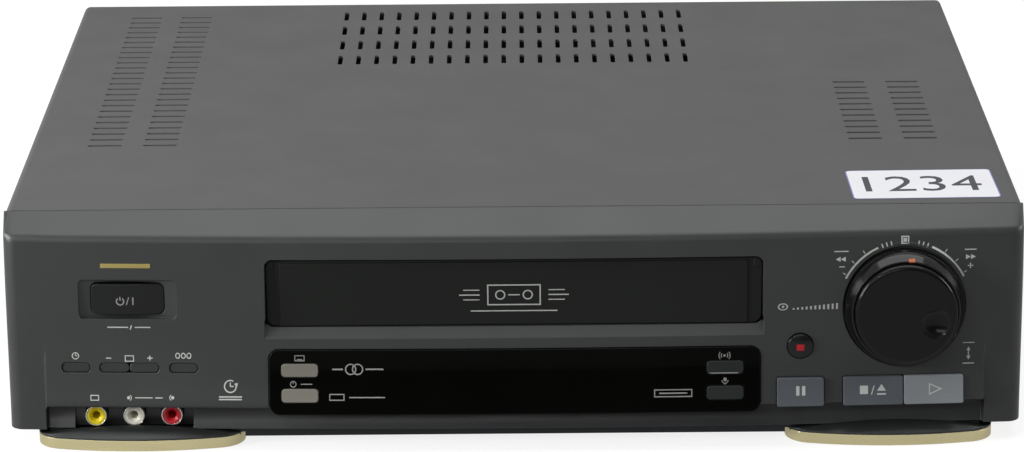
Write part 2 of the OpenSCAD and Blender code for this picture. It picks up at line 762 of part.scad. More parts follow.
module jog_dial() color([0.04, 0.04, 0.04]) {
    y = face_y(dial_x, dial_z);
    ball_r = (sq(dimple_r) + sq(dimple_depth))/(2*dimple_depth);
    tilt = 17;
    on_dial(y) {
        difference() {
            rotate_extrude() polygon(concat(
                [[0, 0], [jog_r, 0]],
                bend([jog_r, jog_proud - 1.8], [jog_r, jog_proud - 0.2], [jog_r - 2, jog_proud], 4),
                [[0, jog_proud - 0.5]]));
            rotate([0, 0, -tilt]) translate([dimple_at, 0, jog_proud - 0.3 + ball_r - dimple_depth])
                sphere(ball_r, $fn = 96);
        }
        translate([0, 0, -13]) cylinder(h = 13.5, r = jog_shaft_r);
    }
}

// Board behind the panel, with a switch for each key and the bearing of the dial.
module front_board() color([0.35, 0.28, 0.12]) {
    dial_y = face_y(dial_x, dial_z);
    can_y = dial_y + 10.5;
    switch_at = [[power_x, power_z], [timer_x, bar_z], [counter_x, bar_z],
        [channel_x - (channel_w + key_gap)/2, bar_z], [channel_x + (channel_w + key_gap)/2, bar_z],
        [left_key_x, upper_key_z], [left_key_x, lower_key_z], [right_key_x, upper_key_z],
        [right_key_x, lower_key_z], [record_x, record_z], [pause_x, transport_mid()],
        [stop_x, transport_mid()], [play_x, transport_mid()]];
    difference() {
        union() {
            block(-half_w + 10, half_w - 10, board_y, board_y + board_t, panel_low + 4, 44);
            for (s = [-1, 1])
                block(s > 0 ? door_w/2 + 8 : -half_w + 10, s > 0 ? half_w - 10 : -door_w/2 - 8,
                    board_y, board_y + board_t, 43, edge_z - 4);
        }
        rod_y(dial_x, dial_z, jog_shaft_r + 4, board_y - 1, board_y + 4);
    }
    for (p = switch_at) {
        block(p[0] - 3, p[0] + 3, board_y - switch_h, board_y, p[1] - 3, p[1] + 3);
        rod_y(p[0], p[1], 1.7, board_y - switch_h - plunger_h, board_y - switch_h + 0.1);
    }
    // Encoder can behind the dial, which ends the shaft
    difference() {
        rod_y(dial_x, dial_z, 11, can_y, board_y + 6);
        rod_y(dial_x, dial_z, jog_shaft_r + run, can_y - 1, dial_y + 13.4);
    }
    for (s = [-1, 1]) block(dial_x + s*14 - 4, dial_x + s*14 + 4, board_y - 4, board_y,
        dial_z - 3, dial_z + 3);
}

module display_tube() color([0.25, 0.3, 0.3]) {
    block(-60, 60, board_y - 8.5, board_y - 3, 22, 39);
    for (i = [-7:7]) rod_y(i*7.5, 25, 0.5, board_y - 3.1, board_y);
}

module jack_shell(x) {
    difference() {
        rod_y(x, jack_z, jack_r, y_front - jack_reach, board_y);
        rod_y(x, jack_z, jack_r - 0.4, y_front - jack_reach - 1, board_y - 1.5);
    }
}

module front_jack_shells() color([0.75, 0.75, 0.73])
    for (i = [-1:1]) jack_shell(jack_x + i*jack_pitch);

module jack_insert(x) {
    y = y_front - jack_reach;
    difference() {
        rod_y(x, jack_z, jack_r - 0.4, y + 0.2, board_y - 1.5);
        rod_y(x, jack_z, jack_bore_r, y - 1, y + 0.2 + jack_bore_len);
        translate([x, y + 1.2, jack_z]) rotate([90, 0, 0])
            cylinder(h = 1.6, r1 = jack_bore_r, r2 = jack_r - 0.8);
    }
}

module jack_ring_yellow() color([0.9, 0.8, 0.05]) jack_insert(jack_x - jack_pitch);
module jack_ring_white() color([0.9, 0.9, 0.82]) jack_insert(jack_x);
module jack_ring_red() color([0.75, 0.1, 0.12]) jack_insert(jack_x + jack_pitch);

// Cassette door: a straight flap with a raised middle, a bevelled top edge and a pin at each end.
module cassette_door() color([0.07, 0.07, 0.07]) {
    z0 = door_low + door_gap;
    z1 = door_high - door_gap;
    w = door_w - 2*door_gap;
    y = door_y();
    step = 0.5;
    intersection() {
        union() {
            translate([-w/2, 0, 0]) rotate([90, 0, 90]) linear_extrude(w)
                polygon([[y + step, z0 - 1], [y + step, z1 - 0.8], [y + step + 0.6, z1], [y + step + 0.7, z1],
                    [y + door_t, z1 - 2.3], [y + door_t, z0 - 1]]);
            translate([-door_mid_w/2, 0, 0]) rotate([90, 0, 90]) linear_extrude(door_mid_w)
                polygon([[y, z0 - 1], [y, z1 - 1.8], [y + step + 0.2, z1 - 1], [y + step + 0.2, z0 - 1]]);
            for (s = [-1, 1])
                block(s > 0 ? w/2 - 3 : -w/2, s > 0 ? w/2 : 3 - w/2, y, y + step + 0.1,
                    hinge_z() - 3, hinge_z() + 0.4);
        }
        prism_y(0, (z0 + z1)/2, w, z1 - z0, door_r + door_gap, y_front - 40, y_front + 4);
    }
    for (s = [-1, 1])
        rod_x(hinge_y(), hinge_z(), door_pin_r, s > 0 ? w/2 - 2 : -w/2 - 3, s > 0 ? w/2 + 3 : 2 - w/2);
}

module door_spring() color([0.7, 0.7, 0.7]) {
    y = hinge_y() + spring_back;
    x0 = door_w/2 + 4.2;
    difference() {
        rod_x(y, hinge_z(), 2.4, x0, x0 + 6);
        rod_x(y, hinge_z(), 1.6, x0 - 1, x0 + 7);
    }
}

// Folded cover: a sheet with two long bends, cut by the vent fields.
module cover_section() {
    difference() {
        union() {
            translate([0, (body_h + cover_low)/2])
                square([body_w - 2*cover_r, body_h - cover_low], center = true);
            translate([0, (body_h - cover_r + cover_low)/2])
                square([body_w, body_h - cover_r - cover_low], center = true);
            for (s = [-1, 1]) translate([s*(half_w - cover_r), body_h - cover_r]) circle(cover_r);
        }
        translate([0, (body_h - cover_t)/2])
            square([body_w - 2*cover_r, body_h - cover_t], center = true);
        translate([0, (body_h - cover_r)/2])
            square([body_w - 2*cover_t, body_h - cover_r], center = true);
        for (s = [-1, 1])
            translate([s*(half_w - cover_r), body_h - cover_r]) circle(cover_r - cover_t);
    }
}

module slot(w, l) {
    square([w, l - w], center = true);
    for (s = [-1, 1]) translate([0, s*(l - w)/2]) circle(w/2, $fn = 24);
}

module vent_fields() {
    for (x = [-outer_vent_x, -inner_vent_x], i = [0:left_vent_rows - 1])
        translate([x, y_front + left_vent_start + i*side_vent_pitch]) rotate(90)
            slot(vent_w, vent_len);
    for (x = [outer_vent_x, inner_vent_x], i = [0:right_vent_rows - 1])
        translate([x, y_front + right_vent_start + i*side_vent_pitch]) rotate(90)
            slot(vent_w, vent_len);
    for (i = [0:mid_vent_cols - 1], j = [0:mid_vent_rows - 1])
        translate([(i - (mid_vent_cols - 1)/2)*mid_vent_pitch,
            y_front + mid_vent_start + j*mid_row_pitch]) slot(vent_w, vent_len);
}

screw_ys = [60, 252];
screw_z = floor_z + 14;
screw_r = 1.5;

module top_cover() color([0.4, 0.41, 0.41]) {
    difference() {
        translate([0, y_back, 0]) rotate([90, 0, 0]) linear_extrude(cover_depth) cover_section();
        translate([0, 0, body_h - 2*cover_t]) linear_extrude(3*cover_t) vent_fields();
        for (y = screw_ys) rod_x(y_front + y, screw_z, screw_r + 0.2, -half_w - 1, half_w + 1);
    }
}

module cover_screws() color([0.3, 0.3, 0.31])
    for (y = screw_ys, s = [-1, 1]) {
        x0 = s > 0 ? half_w : -half_w - 1.4;
        difference() {
            rod_x(y_front + y, screw_z, 3.6, x0, x0 + 1.4);
            translate([s*(half_w + 1.4), y_front + y, screw_z]) {
                cube([1.6, 4, 0.8], center = true);
                cube([1.6, 0.8, 4], center = true);
            }
        }
        rod_x(y_front + y, screw_z, screw_r, s > 0 ? half_w - 5 : -half_w, s > 0 ? half_w : 5 - half_w);
    }

// Chassis tray: floor, side flanges, front hem, posts for the deck and the boards.
deck_posts = [[-1, 1], [1, 1], [-1, -1], [1, -1]];
hem_half = foot_x - foot_w/2 - fit;
module bottom_chassis() color([0.45, 0.45, 0.44]) {
    y0 = y_front - hem_reach;
    y1 = rear_y - fit;
    difference() {
        union() {
            block(-inner_half, inner_half, y_front + 1, y1, floor_z, floor_top);
            block(-flare_w/2 + 1, flare_w/2 - 1, y0, y_front + 2, floor_z, floor_top);
            block(-flare_w/2 + 1, flare_w/2 - 1, y0, y0 + sheet_t, floor_z, panel_low - 0.6);
            block(-hem_half, hem_half, y0, y0 + sheet_t, hem_low, floor_top);
            for (s = [-1, 1]) block(s > 0 ? inner_half - sheet_t : -inner_half,
                s > 0 ? inner_half : sheet_t - inner_half, y_front + 1, y1, floor_z, floor_z + flange_h);
        }
        for (y = screw_ys) rod_x(y_front + y, screw_z, screw_r + run, -half_w, half_w);
        // Louvres in the floor below the power board
        for (i = [0:9]) block(25 - half_w, -deck_half_w - 18,
            y_front + 120 + i*12, y_front + 124 + i*12, 0, 20);
    }
    for (p = deck_posts) translate([p[0]*(deck_half_w - 8), post_y(p[1]), floor_top - 0.1])
        cylinder(h = deck_z - floor_top + 0.1, r = 4);
    for (p = board_posts()) translate([p[0], p[1], floor_top - 0.1])
        cylinder(h = board_z - floor_top + 0.1, r = 2.5);
}

board_z = 14;
function post_y(side) = side < 0 ? y_front + deck_start + 8 : y_front + deck_start + deck_len - 8;
board_out = half_w - 10;
board_in = deck_half_w + 6;
function board_posts() = let (o = board_out - 6, i = board_in + 6, y = y_back - 14)
    [[-o, y_front + 90], [-i, y_front + 90], [-o, y], [-i, y], [i, y_front + 24], [o, y_front + 24],
    [o, y], [-20, y], [i, y_back - 60]];

// Rear panel with the cut-outs of its sockets.
module rear_panel() color([0.5, 0.5, 0.49]) {
    z0 = floor_top;
    difference() {
        union() {
            block(-inner_half, inner_half, rear_y, rear_y + sheet_t, floor_z, inner_top - cover_r);
            block(-inner_half + cover_r, inner_half - cover_r, rear_y, rear_y + sheet_t,
                inner_top - cover_r - 1, inner_top);
            block(-inner_half + cover_r, inner_half - cover_r, rear_y - 10, rear_y + 0.5,
                inner_top - sheet_t, inner_top);
        }
        for (i = [0, 1]) scart_outline(scart_z + i*scart_pitch, fit, rear_y - 1, rear_y + 5);
        for (z = [aerial_z, aerial_z - aerial_pitch]) {
            rod_y(aerial_x, z, aerial_r + 1.5 + fit, rear_y - 1, rear_y + 5);
            rod_y(rear_jack_x, z, jack_r + 1.2 + fit, rear_y - 1, rear_y + 5);
        }
        prism_y(inlet_x, inlet_z, 22 + 2*fit, 13 + 2*fit, 4, rear_y - 1, rear_y + 5);
        for (i = [0:14], j = [0, 1])
            block(14 - half_w + i*6, 17 - half_w + i*6, rear_y - 1, rear_y + 5, 56 + j*16, 68 + j*16);
    }
}

module scart_outline(z, grow, y0, y1) {
    w = scart_w/2 + grow;
    h = scart_h/2 + grow;
    translate([scart_x, y1, z]) rotate([90, 0, 0]) linear_extrude(y1 - y0)
        polygon([[-w + 3, -h], [w, -h], [w, h - 4], [w - 3, h], [-w, h], [-w, -h + 3]]);
}

module video_sockets() color([0.08, 0.08, 0.08])
    for (i = [0, 1]) {
        z = scart_z + i*scart_pitch;
        difference() {
            scart_outline(z, 0, rear_y - 14, rear_y + 4);
            scart_outline(z, -1.2, rear_y - 6, rear_y + 5);
        }
        difference() {
            block(scart_x - 21, scart_x + 21, rear_y - 7, rear_y + 2.4, z - 3.6, z + 3.6);
            for (k = [0:9], s = [-1, 1])
                block(scart_x - 18.6 + k*3.8 + s*0.9, scart_x - 17.4 + k*3.8 + s*0.9,
                    rear_y - 4, rear_y + 3, z + s*2.4 - 0.5, z + s*2.4 + 0.5);
        }
        block(scart_x - 20, scart_x + 20, rear_y - 22, rear_y - 13.5, z - scart_h/2, z + scart_h/2);
    }

module aerial_sockets() color([0.72, 0.72, 0.7])
    for (i = [0, 1]) {
        z = aerial_z - i*aerial_pitch;
        difference() {
            union() {
                rod_y(aerial_x, z, aerial_r, rear_y - 10, y_back + rear_reach);
                rod_y(aerial_x, z, aerial_r + 1.5, rear_y - 10, rear_y + sheet_t + 1);
            }
            rod_y(aerial_x, z, aerial_r - 0.6, rear_y - 4, y_back + rear_reach + 1);
        }
        difference() {
            rod_y(aerial_x, z, 1.2, rear_y - 4.1, y_back + rear_reach - 1.5);
            rod_y(aerial_x, z, i == 0 ? 0.7 : 0.2, y_back - 2, y_back + rear_reach);
        }
    }

module rear_audio_jacks() color([0.75, 0.75, 0.73])
    for (i = [0, 1]) {
        z = aerial_z - i*aerial_pitch;
        difference() {
            union() {
                rod_y(rear_jack_x, z, jack_r, rear_y - 10, y_back + rear_reach - 1);
                rod_y(rear_jack_x, z, jack_r + 1.2, rear_y - 10, rear_y + sheet_t + 1);
            }
            rod_y(rear_jack_x, z, jack_r - 0.6, y_back - 1, y_back + rear_reach);
            rod_y(rear_jack_x, z, jack_bore_r, rear_y - 4, y_back + rear_reach);
        }
    }

module mains_inlet() color([0.06, 0.06, 0.06]) {
    difference() {
        union() {
            prism_y(inlet_x, inlet_z, 22, 13, 4, rear_y - 18, rear_y + sheet_t + 0.5);
            prism_y(inlet_x, inlet_z, 26, 17, 4, rear_y + sheet_t, rear_y + sheet_t + 1.2);
        }
        union() {
            block(inlet_x - 4.4, inlet_x + 4.4, rear_y - 12, rear_y + 5, inlet_z - 4.2, inlet_z + 4.2);
            for (s = [-1, 1]) rod_y(inlet_x + s*4.4, inlet_z, 4.2, rear_y - 12, rear_y + 5);
        }
    }
    for (s = [-1, 1]) rod_y(inlet_x + s*4.3, inlet_z, 1.2, rear_y - 12.1, rear_y - 1);
}

module main_board() color([0.16, 0.32, 0.18]) {
    block(-30, board_out, y_front + 232, rear_y - 2, board_z, board_z + board_t);
    block(board_in, board_out, y_front + 16, y_front + 233, board_z, board_z + board_t);
    // Tuner can behind the aerial sockets, and a few tall parts
    block(aerial_x - 22, aerial_x + 30, rear_y - 42, rear_y - 10, board_z + board_t - 0.1, 68);
    block(rear_jack_x - 7, rear_jack_x + 8, rear_y - 26, rear_y - 10, board_z + board_t - 0.1, 64);
    block(scart_x - 27, scart_x + 27, rear_y - 20, rear_y - 14, board_z + board_t - 0.1, 22.4);
    for (i = [0:5], j = [0:2])
        translate([mix(board_in + 10, board_out - 18, j/2), y_front + 40 + i*30, board_z + board_t - 0.1])
        cylinder(h = 8 + (i*j) % 5, r = 3 + (i + j) % 3);
    for (i = [0:2]) block(board_in + 12, board_in + 40, y_front + 50 + i*44, y_front + 64 + i*44,
        board_z + board_t - 0.1, board_z + 4.5);
}

// Places across the power board, from 0 at its outer edge to 1 at its inner edge.
function power_at(u) = -mix(board_out, board_in, u);
module power_board() color([0.5, 0.38, 0.2]) {
    z = board_z + board_t - 0.1;
    block(-board_out, -board_in, y_front + 80, rear_y - 2, board_z, board_z + board_t);
    block(power_at(0.06), power_at(0.7), y_front + 130, y_front + 176, z, z + 36);
    block(power_at(0.12), power_at(0.64), y_front + 122, y_front + 184, z, z + 26);
    for (i = [0:5])
        block(power_at(0.78), power_at(0.94), y_front + 110 + i*5, y_front + 112 + i*5, z, z + 30);
    block(power_at(0.78), power_at(0.94), y_front + 108, y_front + 137, z, z + 4);
    for (i = [0:2]) translate([power_at(0.56 + i/6), y_front + 216, z]) cylinder(h = 26 - i*5, r = 6 - i);
    translate([power_at(0.25), y_front + 220, z]) cylinder(h = 38, r = 11);
    block(inlet_x - 9, inlet_x + 9, rear_y - 30, rear_y - 18, z, inlet_z + 6);
}

// Front feet: a black body under the chassis, with a domed ledge in front of the panel. In plan a
// wide front arc runs on into a round corner at each end.
module foot_plan(grow) {
    y_arc = y_front - foot_reach + foot_front_r;
    x_corner = foot_w/2 - foot_corner_r;
    y_corner = y_arc - sqrt(sq(foot_front_r - foot_corner_r) - sq(x_corner));
    y_end = y_front - foot_reach + foot_depth + grow;
    x_meet = x_corner*(foot_front_r + grow)/(foot_front_r - foot_corner_r);
    translate([foot_x, 0]) {
        intersection() {
            translate([0, y_arc]) circle(foot_front_r + grow, $fn = 180);
            translate([-x_meet, y_arc - foot_front_r - 2])
                square([2*x_meet, y_end - y_arc + foot_front_r + 2]);
        }
        for (s = [-1, 1]) translate([s*x_corner, y_corner]) circle(foot_corner_r + grow);
        translate([-foot_w/2 - grow, y_corner]) square([foot_w + 2*grow, y_end - y_corner]);
    }
}

module foot() {
    ledge = 4;
    hem_y = y_front - hem_reach - fit;
    side_r = (sq(foot_w/2) + sq(ledge))/(2*ledge);
    linear_extrude(floor_z) foot_plan(-band_t);
    translate([0, 0, band_h]) linear_extrude(floor_z - band_h) foot_plan(0);
    // The ledge falls away to the front and to both ends, and passes under the panel
    difference() {
        intersection() {
            translate([0, 0, band_h]) linear_extrude(floor_z + ledge - band_h) intersection() {
                foot_plan(0);
                translate([foot_x, hem_y - 20]) square([foot_w + 4, 40], center = true);
            }
            translate([foot_x, y_front - foot_reach + foot_front_r, 0]) rotate_extrude($fn = 180)
                polygon([[0, 0], [foot_front_r + 1, 0], [foot_front_r, floor_z + 0.3],
                    [foot_front_r - 2.4, floor_z + 2.4], [foot_front_r - 5.4, floor_z + ledge],
                    [0, floor_z + ledge]]);
            translate([foot_x, 0, floor_z + ledge - side_r]) rotate([90, 0, 0])
                cylinder(h = 400, r = side_r, center = true, $fn = 180);
        }
        bowed(foot_x - foot_w/2 - 2, foot_x + foot_w/2 + 2)
            translate([0, panel_low - 0.3 - fit]) square([low_reach + fit, 20]);
    }
}

module front_feet() color([0.07, 0.07, 0.07]) {
    foot();
    mirror([1, 0, 0]) foot();
}

module band() {
    linear_extrude(band_h - band_lift) difference() {
        foot_plan(0);
        foot_plan(-band_t);
        translate([foot_x, y_front - foot_reach + foot_depth]) square([foot_w + 4, 44], center = true);
    }
}

module foot_bands() color([0.75, 0.7, 0.45]) {
    translate([0, 0, band_lift]) {
        band();
        mirror([1, 0, 0]) band();
    }
}

module rear_feet() color([0.05, 0.05, 0.05])
    for (s = [-1, 1]) translate([s*150, y_back - 40, 0]) {
        cylinder(h = floor_z, r = rear_foot_r);
    }

// Deck plate with the arc slots of the guides and the holes of the capstan and the clutch.
clutch_y = y_front + 79.5;
cam_x = -80;
cam_y = drum_y + 8;
pinch_x = 88;
pinch_y = capstan_y + 18;
pinch_len = 27.5;
pinch_rest = 176.8;
tension_x = -72;
tension_y = reel_y + 42;

module arc_slot(r, w, a0, a1, z, h) {
    translate([0, drum_y, z]) {
        rotate([0, 0, a0]) rotate_extrude(angle = a1 - a0) translate([r - w/2, 0]) square([w, h]);
        for (a = [a0, a1]) rotate([0, 0, a]) translate([r, 0, 0]) cylinder(h = h, r = w/2 + 0.3);
    }
}

module deck_plate() color([0.62, 0.63, 0.63]) {
    y0 = y_front + deck_start;
    difference() {
        block(-deck_half_w, deck_half_w, y0, y0 + deck_len, deck_z, deck_top);
        arc_slot(guide_r, 4, -68, 9, deck_z - 1, deck_t + 2);
        arc_slot(guide_r, 4, 171, 248, deck_z - 1, deck_t + 2);
        translate([capstan_x, capstan_y, deck_z - 1]) cylinder(h = deck_t + 2, r = 7);
        translate([0, clutch_y, deck_z - 1]) cylinder(h = deck_t + 2, r = 3 + run);
    }
    // Fixed spindles of the reels, the arms and the cam gear
    for (s = [-1, 1]) translate([s*reel_pitch/2, reel_y, deck_top - 0.1])
        cylinder(h = reel_h, r = 1.5);
    translate([pinch_x, pinch_y, deck_top - 0.1]) cylinder(h = 16, r = 2.5);
    translate([cam_x, cam_y, deck_top - 0.1]) cylinder(h = 13, r = 2.5);
    translate([tension_x, tension_y, deck_top - 0.1]) cylinder(h = 10, r = 2);
}

function window_span(y) = [y - pin_r - hole_play, y + load_in + pin_r + hole_play];

module carriage_side(s) {
    y0 = holder_y - 3;
    y1 = holder_y + holder_len + load_in + 14;
    x0 = s > 0 ? side_plate_x : -side_plate_x - side_plate_t;
    x1 = x0 + side_plate_t;
    difference() {
        block(x0, x1, y0, y1, deck_top, side_top);
        for (y = pin_ys) block(x0 - 1, x1 + 1, window_span(y)[0], window_span(y)[1],
            pin_z - load_drop - pin_r - hole_play, pin_z + pin_r + hole_play);
        block(x0 - 1, x1 + 1, rod_at() - 2, rod_at() + load_in + 2,
            rod_z - rod_r - 0.4, rod_z + rod_r + 0.4);
    }
    block(s > 0 ? side_plate_x : -side_plate_x - 8, s > 0 ? side_plate_x + 8 : -side_plate_x,
        y1 - 12, y1, deck_top, deck_top + 1.2);
}

function rod_at() = holder_y + holder_len + 20 - load_in;

module carriage_frame() color([0.66, 0.66, 0.64]) {
    y1 = holder_y + holder_len + load_in + 14;
    carriage_side(-1);
    carriage_side(1);
    block(-side_plate_x - side_plate_t, side_plate_x + side_plate_t, y1 - 34, y1,
        side_top - 0.1, side_top + 0.8);
}

module loading_slider() color([0.8, 0.8, 0.76]) {
    for (s = [-1, 1]) {
        x0 = s > 0 ? slider_x : -slider_x - slider_t;
        difference() {
            block(x0, x0 + slider_t, pin_ys[0] - 8, rod_at() + 6, 38, rod_z + 2.5);
            for (y = pin_ys) block(x0 - 1, x0 + slider_t + 1, y - pin_r - hole_play,
                y + pin_r + hole_play, pin_z - load_drop - pin_r - hole_play, pin_z + pin_r + hole_play);
        }
    }
    rod_x(rod_at(), rod_z, rod_r, -slider_x - 0.1, slider_x + 0.1);
}

// Cassette holder: two channels with ledges, bridged over the top.
module cassette_holder() color([0.7, 0.71, 0.7]) {
    inner = tape_w/2;
    top = tape_z + tape_h;
    y1 = holder_y + holder_len;
    for (s = [-1, 1]) {
        x0 = s > 0 ? inner : -holder_half;
        block(x0, x0 + holder_t, holder_y, y1, tape_z - holder_t, top + holder_t);
        block(s > 0 ? inner - 13 : -holder_half, s > 0 ? holder_half : 13 - inner,
            holder_y, y1, tape_z - holder_t, tape_z);
        block(s > 0 ? inner - 13 : -holder_half, s > 0 ? holder_half : 13 - inner,
            y1 - holder_t, y1, tape_z - holder_t, top + holder_t);
        for (y = pin_ys) rod_x(y, pin_z, pin_r, s > 0 ? holder_half - 0.2 : -slider_x - slider_t - 1,
            s > 0 ? slider_x + slider_t + 1 : 0.2 - holder_half);
    }
    difference() {
        block(-holder_half, holder_half, holder_y + 22, y1, top, top + holder_t);
        for (s = [-1, 1]) block(s*50 - 14, s*50 + 14, holder_y + 34, y1 - 14, top - 1, top + 4);
    }
}

// The drum leans back by its tilt, about the deck's surface.
module on_drum() {
    translate([0, drum_y, deck_top + 3.4]) rotate([-drum_tilt, 0, 0]) children();
}

module drum_lower() color([0.72, 0.72, 0.74]) {
    on_drum() {
        cylinder(h = 16, r = drum_r);
        cylinder(h = 40, r = 3);
    }
    difference() {
        translate([0, drum_y, deck_top]) cylinder(h = 6, r = drum_r - 4);
        on_drum() translate([0, 0, 8]) cylinder(h = 30, r = drum_r + 9);
    }
}

module drum_upper() color([0.82, 0.82, 0.84])
    on_drum() difference() {
        union() {
            translate([0, 0, 16.4]) cylinder(h = 17, r = drum_r);
            translate([0, 0, 33.3]) cylinder(h = 7, r = 21);
            translate([0, 0, 33.3]) cylinder(h = 2, r = drum_r - 2);
        }
        translate([0, 0, 16]) cylinder(h = 40, r = 3 + run);
        for (a = [0:60:300]) rotate([0, 0, a + 30]) translate([26, 0, 30]) cylinder(h = 8, r = 1.5);
    }

pinch_z = deck_top + 4;
module capstan_motor() color([0.6, 0.6, 0.6])
    translate([capstan_x, capstan_y, 0]) difference() {
        union() {
            translate([-32, -24, floor_top + 0.2]) cube([64, 48, 1.4]);
            translate([0, 0, 20.4]) cylinder(h = pinch_z - 0.5 - 20.4, r = 6);
            translate([0, 0, 20.4]) cylinder(h = deck_z - 20.4, r = 12);
        }
        translate([0, 0, 0]) cylinder(h = 60, r = capstan_r + run);
    }

module capstan() color([0.8, 0.8, 0.82])
    translate([capstan_x, capstan_y, 0]) {
        translate([0, 0, 9.4]) cylinder(h = 48, r = capstan_r);
        translate([0, 0, 14]) cylinder(h = 6, r = flywheel_r);
        difference() {
            translate([0, 0, 9.4]) cylinder(h = 4.7, r = 8);
            translate([0, 0, 10.6]) rotate_extrude() translate([7, 0]) square([2, 2.4]);
        }
    }

// Flat belt round the capstan's pulley and the clutch pulley.
module drive_belt() color([0.05, 0.05, 0.05]) {
    d = [capstan_x, capstan_y - clutch_y];
    gap = 0.2;
    translate([0, 0, 11]) linear_extrude(1.6) difference() {
        hull() {
            translate([0, clutch_y]) circle(15 + gap + 0.9);
            translate([capstan_x, capstan_y]) circle(7 + gap + 0.9);
        }
        hull() {
            translate([0, clutch_y]) circle(15 + gap);
            translate([capstan_x, capstan_y]) circle(7 + gap);
        }
    }
}

module clutch_pulley() color([0.85, 0.85, 0.8])
    translate([0, clutch_y, 0]) {
        difference() {
            translate([0, 0, 9.4]) cylinder(h = 4.7, r = 16);
            translate([0, 0, 10.6]) rotate_extrude() translate([15, 0]) square([2, 2.4]);
        }
        translate([0, 0, 9.4]) cylinder(h = 24, r = 3);
        translate([0, 0, deck_top + 0.3]) cylinder(h = 3, r = 8);
    }

// The arm swings the idler wheel from the clutch to one reel or the other.
module idler_arm() color([0.3, 0.3, 0.32])
    translate([0, clutch_y, deck_top + 3.8]) difference() {
        union() {
            cylinder(h = 1.6, r = 5);
            translate([-3, 0, 0]) cube([6, 17, 1.6]);
            translate([0, 17, 0]) cylinder(h = 1.6, r = 3);
            translate([0, 17, -3.4]) cylinder(h = 4, r = 1.5);
        }
        translate([0, 0, -1]) cylinder(h = 4, r = 3 + run);
    }

module idler_wheel() color([0.1, 0.1, 0.1])
    translate([0, clutch_y + 17, deck_top + 0.5]) difference() {
        cylinder(h = 3, r = 8.7);
        translate([0, 0, -1]) cylinder(h = 6, r = 1.5 + run);
    }

module reel() {
    difference() {
        union() {
            cylinder(h = 4, r = reel_r);
            cylinder(h = reel_h - 2, r = 5.5);
            translate([0, 0, reel_h - 2.1]) cylinder(h = 3, r1 = 5.5, r2 = 2.6);
            for (a = [0:60:300]) rotate([0, 0, a]) translate([0, -0.8, 0]) cube([8, 1.6, reel_h - 4]);
        }
        translate([0, 0, -1]) cylinder(h = reel_h + 1, r = 1.5 + run);
    }
}

module supply_reel() color([0.15, 0.15, 0.15])
    translate([-reel_pitch/2, reel_y, deck_top + 0.4]) reel();
module takeup_reel() color([0.15, 0.15, 0.15])
    translate([reel_pitch/2, reel_y, deck_top + 0.4]) reel();

module pinch_arm() color([0.55, 0.55, 0.55])
    translate([pinch_x, pinch_y, pinch_z]) rotate([0, 0, pinch_rest]) {
        difference() {
            union() {
                cylinder(h = 8, r = 5);
                translate([0, -3, 0]) cube([pinch_len, 6, 2]);
                translate([pinch_len, 0, 0]) cylinder(h = 2, r = 4);
            }
            translate([0, 0, -1]) cylinder(h = 12, r = 2.5 + run);
        }
        translate([pinch_len, 0, 1.9]) cylinder(h = 20, r = 1.5);
    }

module pinch_roller() color([0.08, 0.08, 0.08])
    translate([pinch_x, pinch_y, pinch_z + 2.4]) rotate([0, 0, pinch_rest])
        translate([pinch_len, 0, 0]) difference() {
            cylinder(h = 18, r = 7);
            translate([0, 0, -1]) cylinder(h = 20, r = 1.5 + run);
        }

// A loading guide: a base that runs along the slot, with its roller post and slant post.
module guide(a) {
    translate([0, drum_y, 0]) rotate([0, 0, a]) translate([guide_r, 0, 0]) {
        translate([-4.5, -4.5, deck_top + 0.3]) cube([9, 9, 2.6]);
        translate([0, 0, deck_z - 1.6]) cylinder(h = deck_t + 4, r = 1.7);
        translate([0, 0, deck_z - 2.2]) cylinder(h = 1.8, r = 3.6);
        translate([0, 0, deck_top + 2]) cylinder(h = 24, r = 2.6);
        translate([0, 0, deck_top + 25.9]) cylinder(h = 2, r = 3.4);
    }
}

module guide_left() color([0.78, 0.78, 0.8]) guide(246);
module guide_right() color([0.78, 0.78, 0.8]) guide(-66);

worm_h = 9;
module cam_gear() color([0.88, 0.88, 0.84]) {
    teeth = 40;
    tooth = 1.6;
    at = [0.08, 0.32, 0.6, 0.84];
    out = [0, 1, 1, 0];
    translate([cam_x, cam_y, deck_top + 0.4]) difference() {
        union() {
            translate([0, 0, worm_h - 2.4]) linear_extrude(4) polygon([for (i = [0:teeth - 1], k = [0:3])
                let (a = (i + at[k])*360/teeth, r = cam_r + tooth*out[k]) [r*cos(a), r*sin(a)]]);
            cylinder(h = worm_h + 2, r = 6);
        }
        translate([0, 0, -1]) cylinder(h = worm_h + 6, r = 2.5 + run);
        translate([0, 0, worm_h]) rotate_extrude(angle = 250) translate([10, 0]) square([3, 4]);
    }
}

module loading_motor() color([0.55, 0.56, 0.58]) {
    worm_r = 2.6;
    z = deck_top + worm_h;
    x = cam_x - cam_r - 1.6 - worm_r - 0.4;
    translate([x, cam_y + 44, z]) rotate([90, 0, 0]) cylinder(h = 24, r = worm_h);
    translate([x - 8, cam_y + 21, deck_top]) cube([16, 22, 3]);
    translate([x, cam_y + 20.2, z]) rotate([90, 0, 0]) cylinder(h = 8, r = 1.2);
    translate([x, cam_y + 16, z]) rotate([90, 0, 0]) cylinder(h = 32, r = worm_r);
}

module tape_heads() color([0.7, 0.7, 0.72]) {
    translate([37, drum_y - 44, deck_top]) {
        cube([9, 7, 26]);
        translate([-3, -2, 0]) cube([15, 11, 2]);
    }
    translate([-72, drum_y - 34, deck_top]) {
        cube([9, 7, 26]);
        translate([-3, -2, 0]) cube([15, 11, 2]);
    }
}

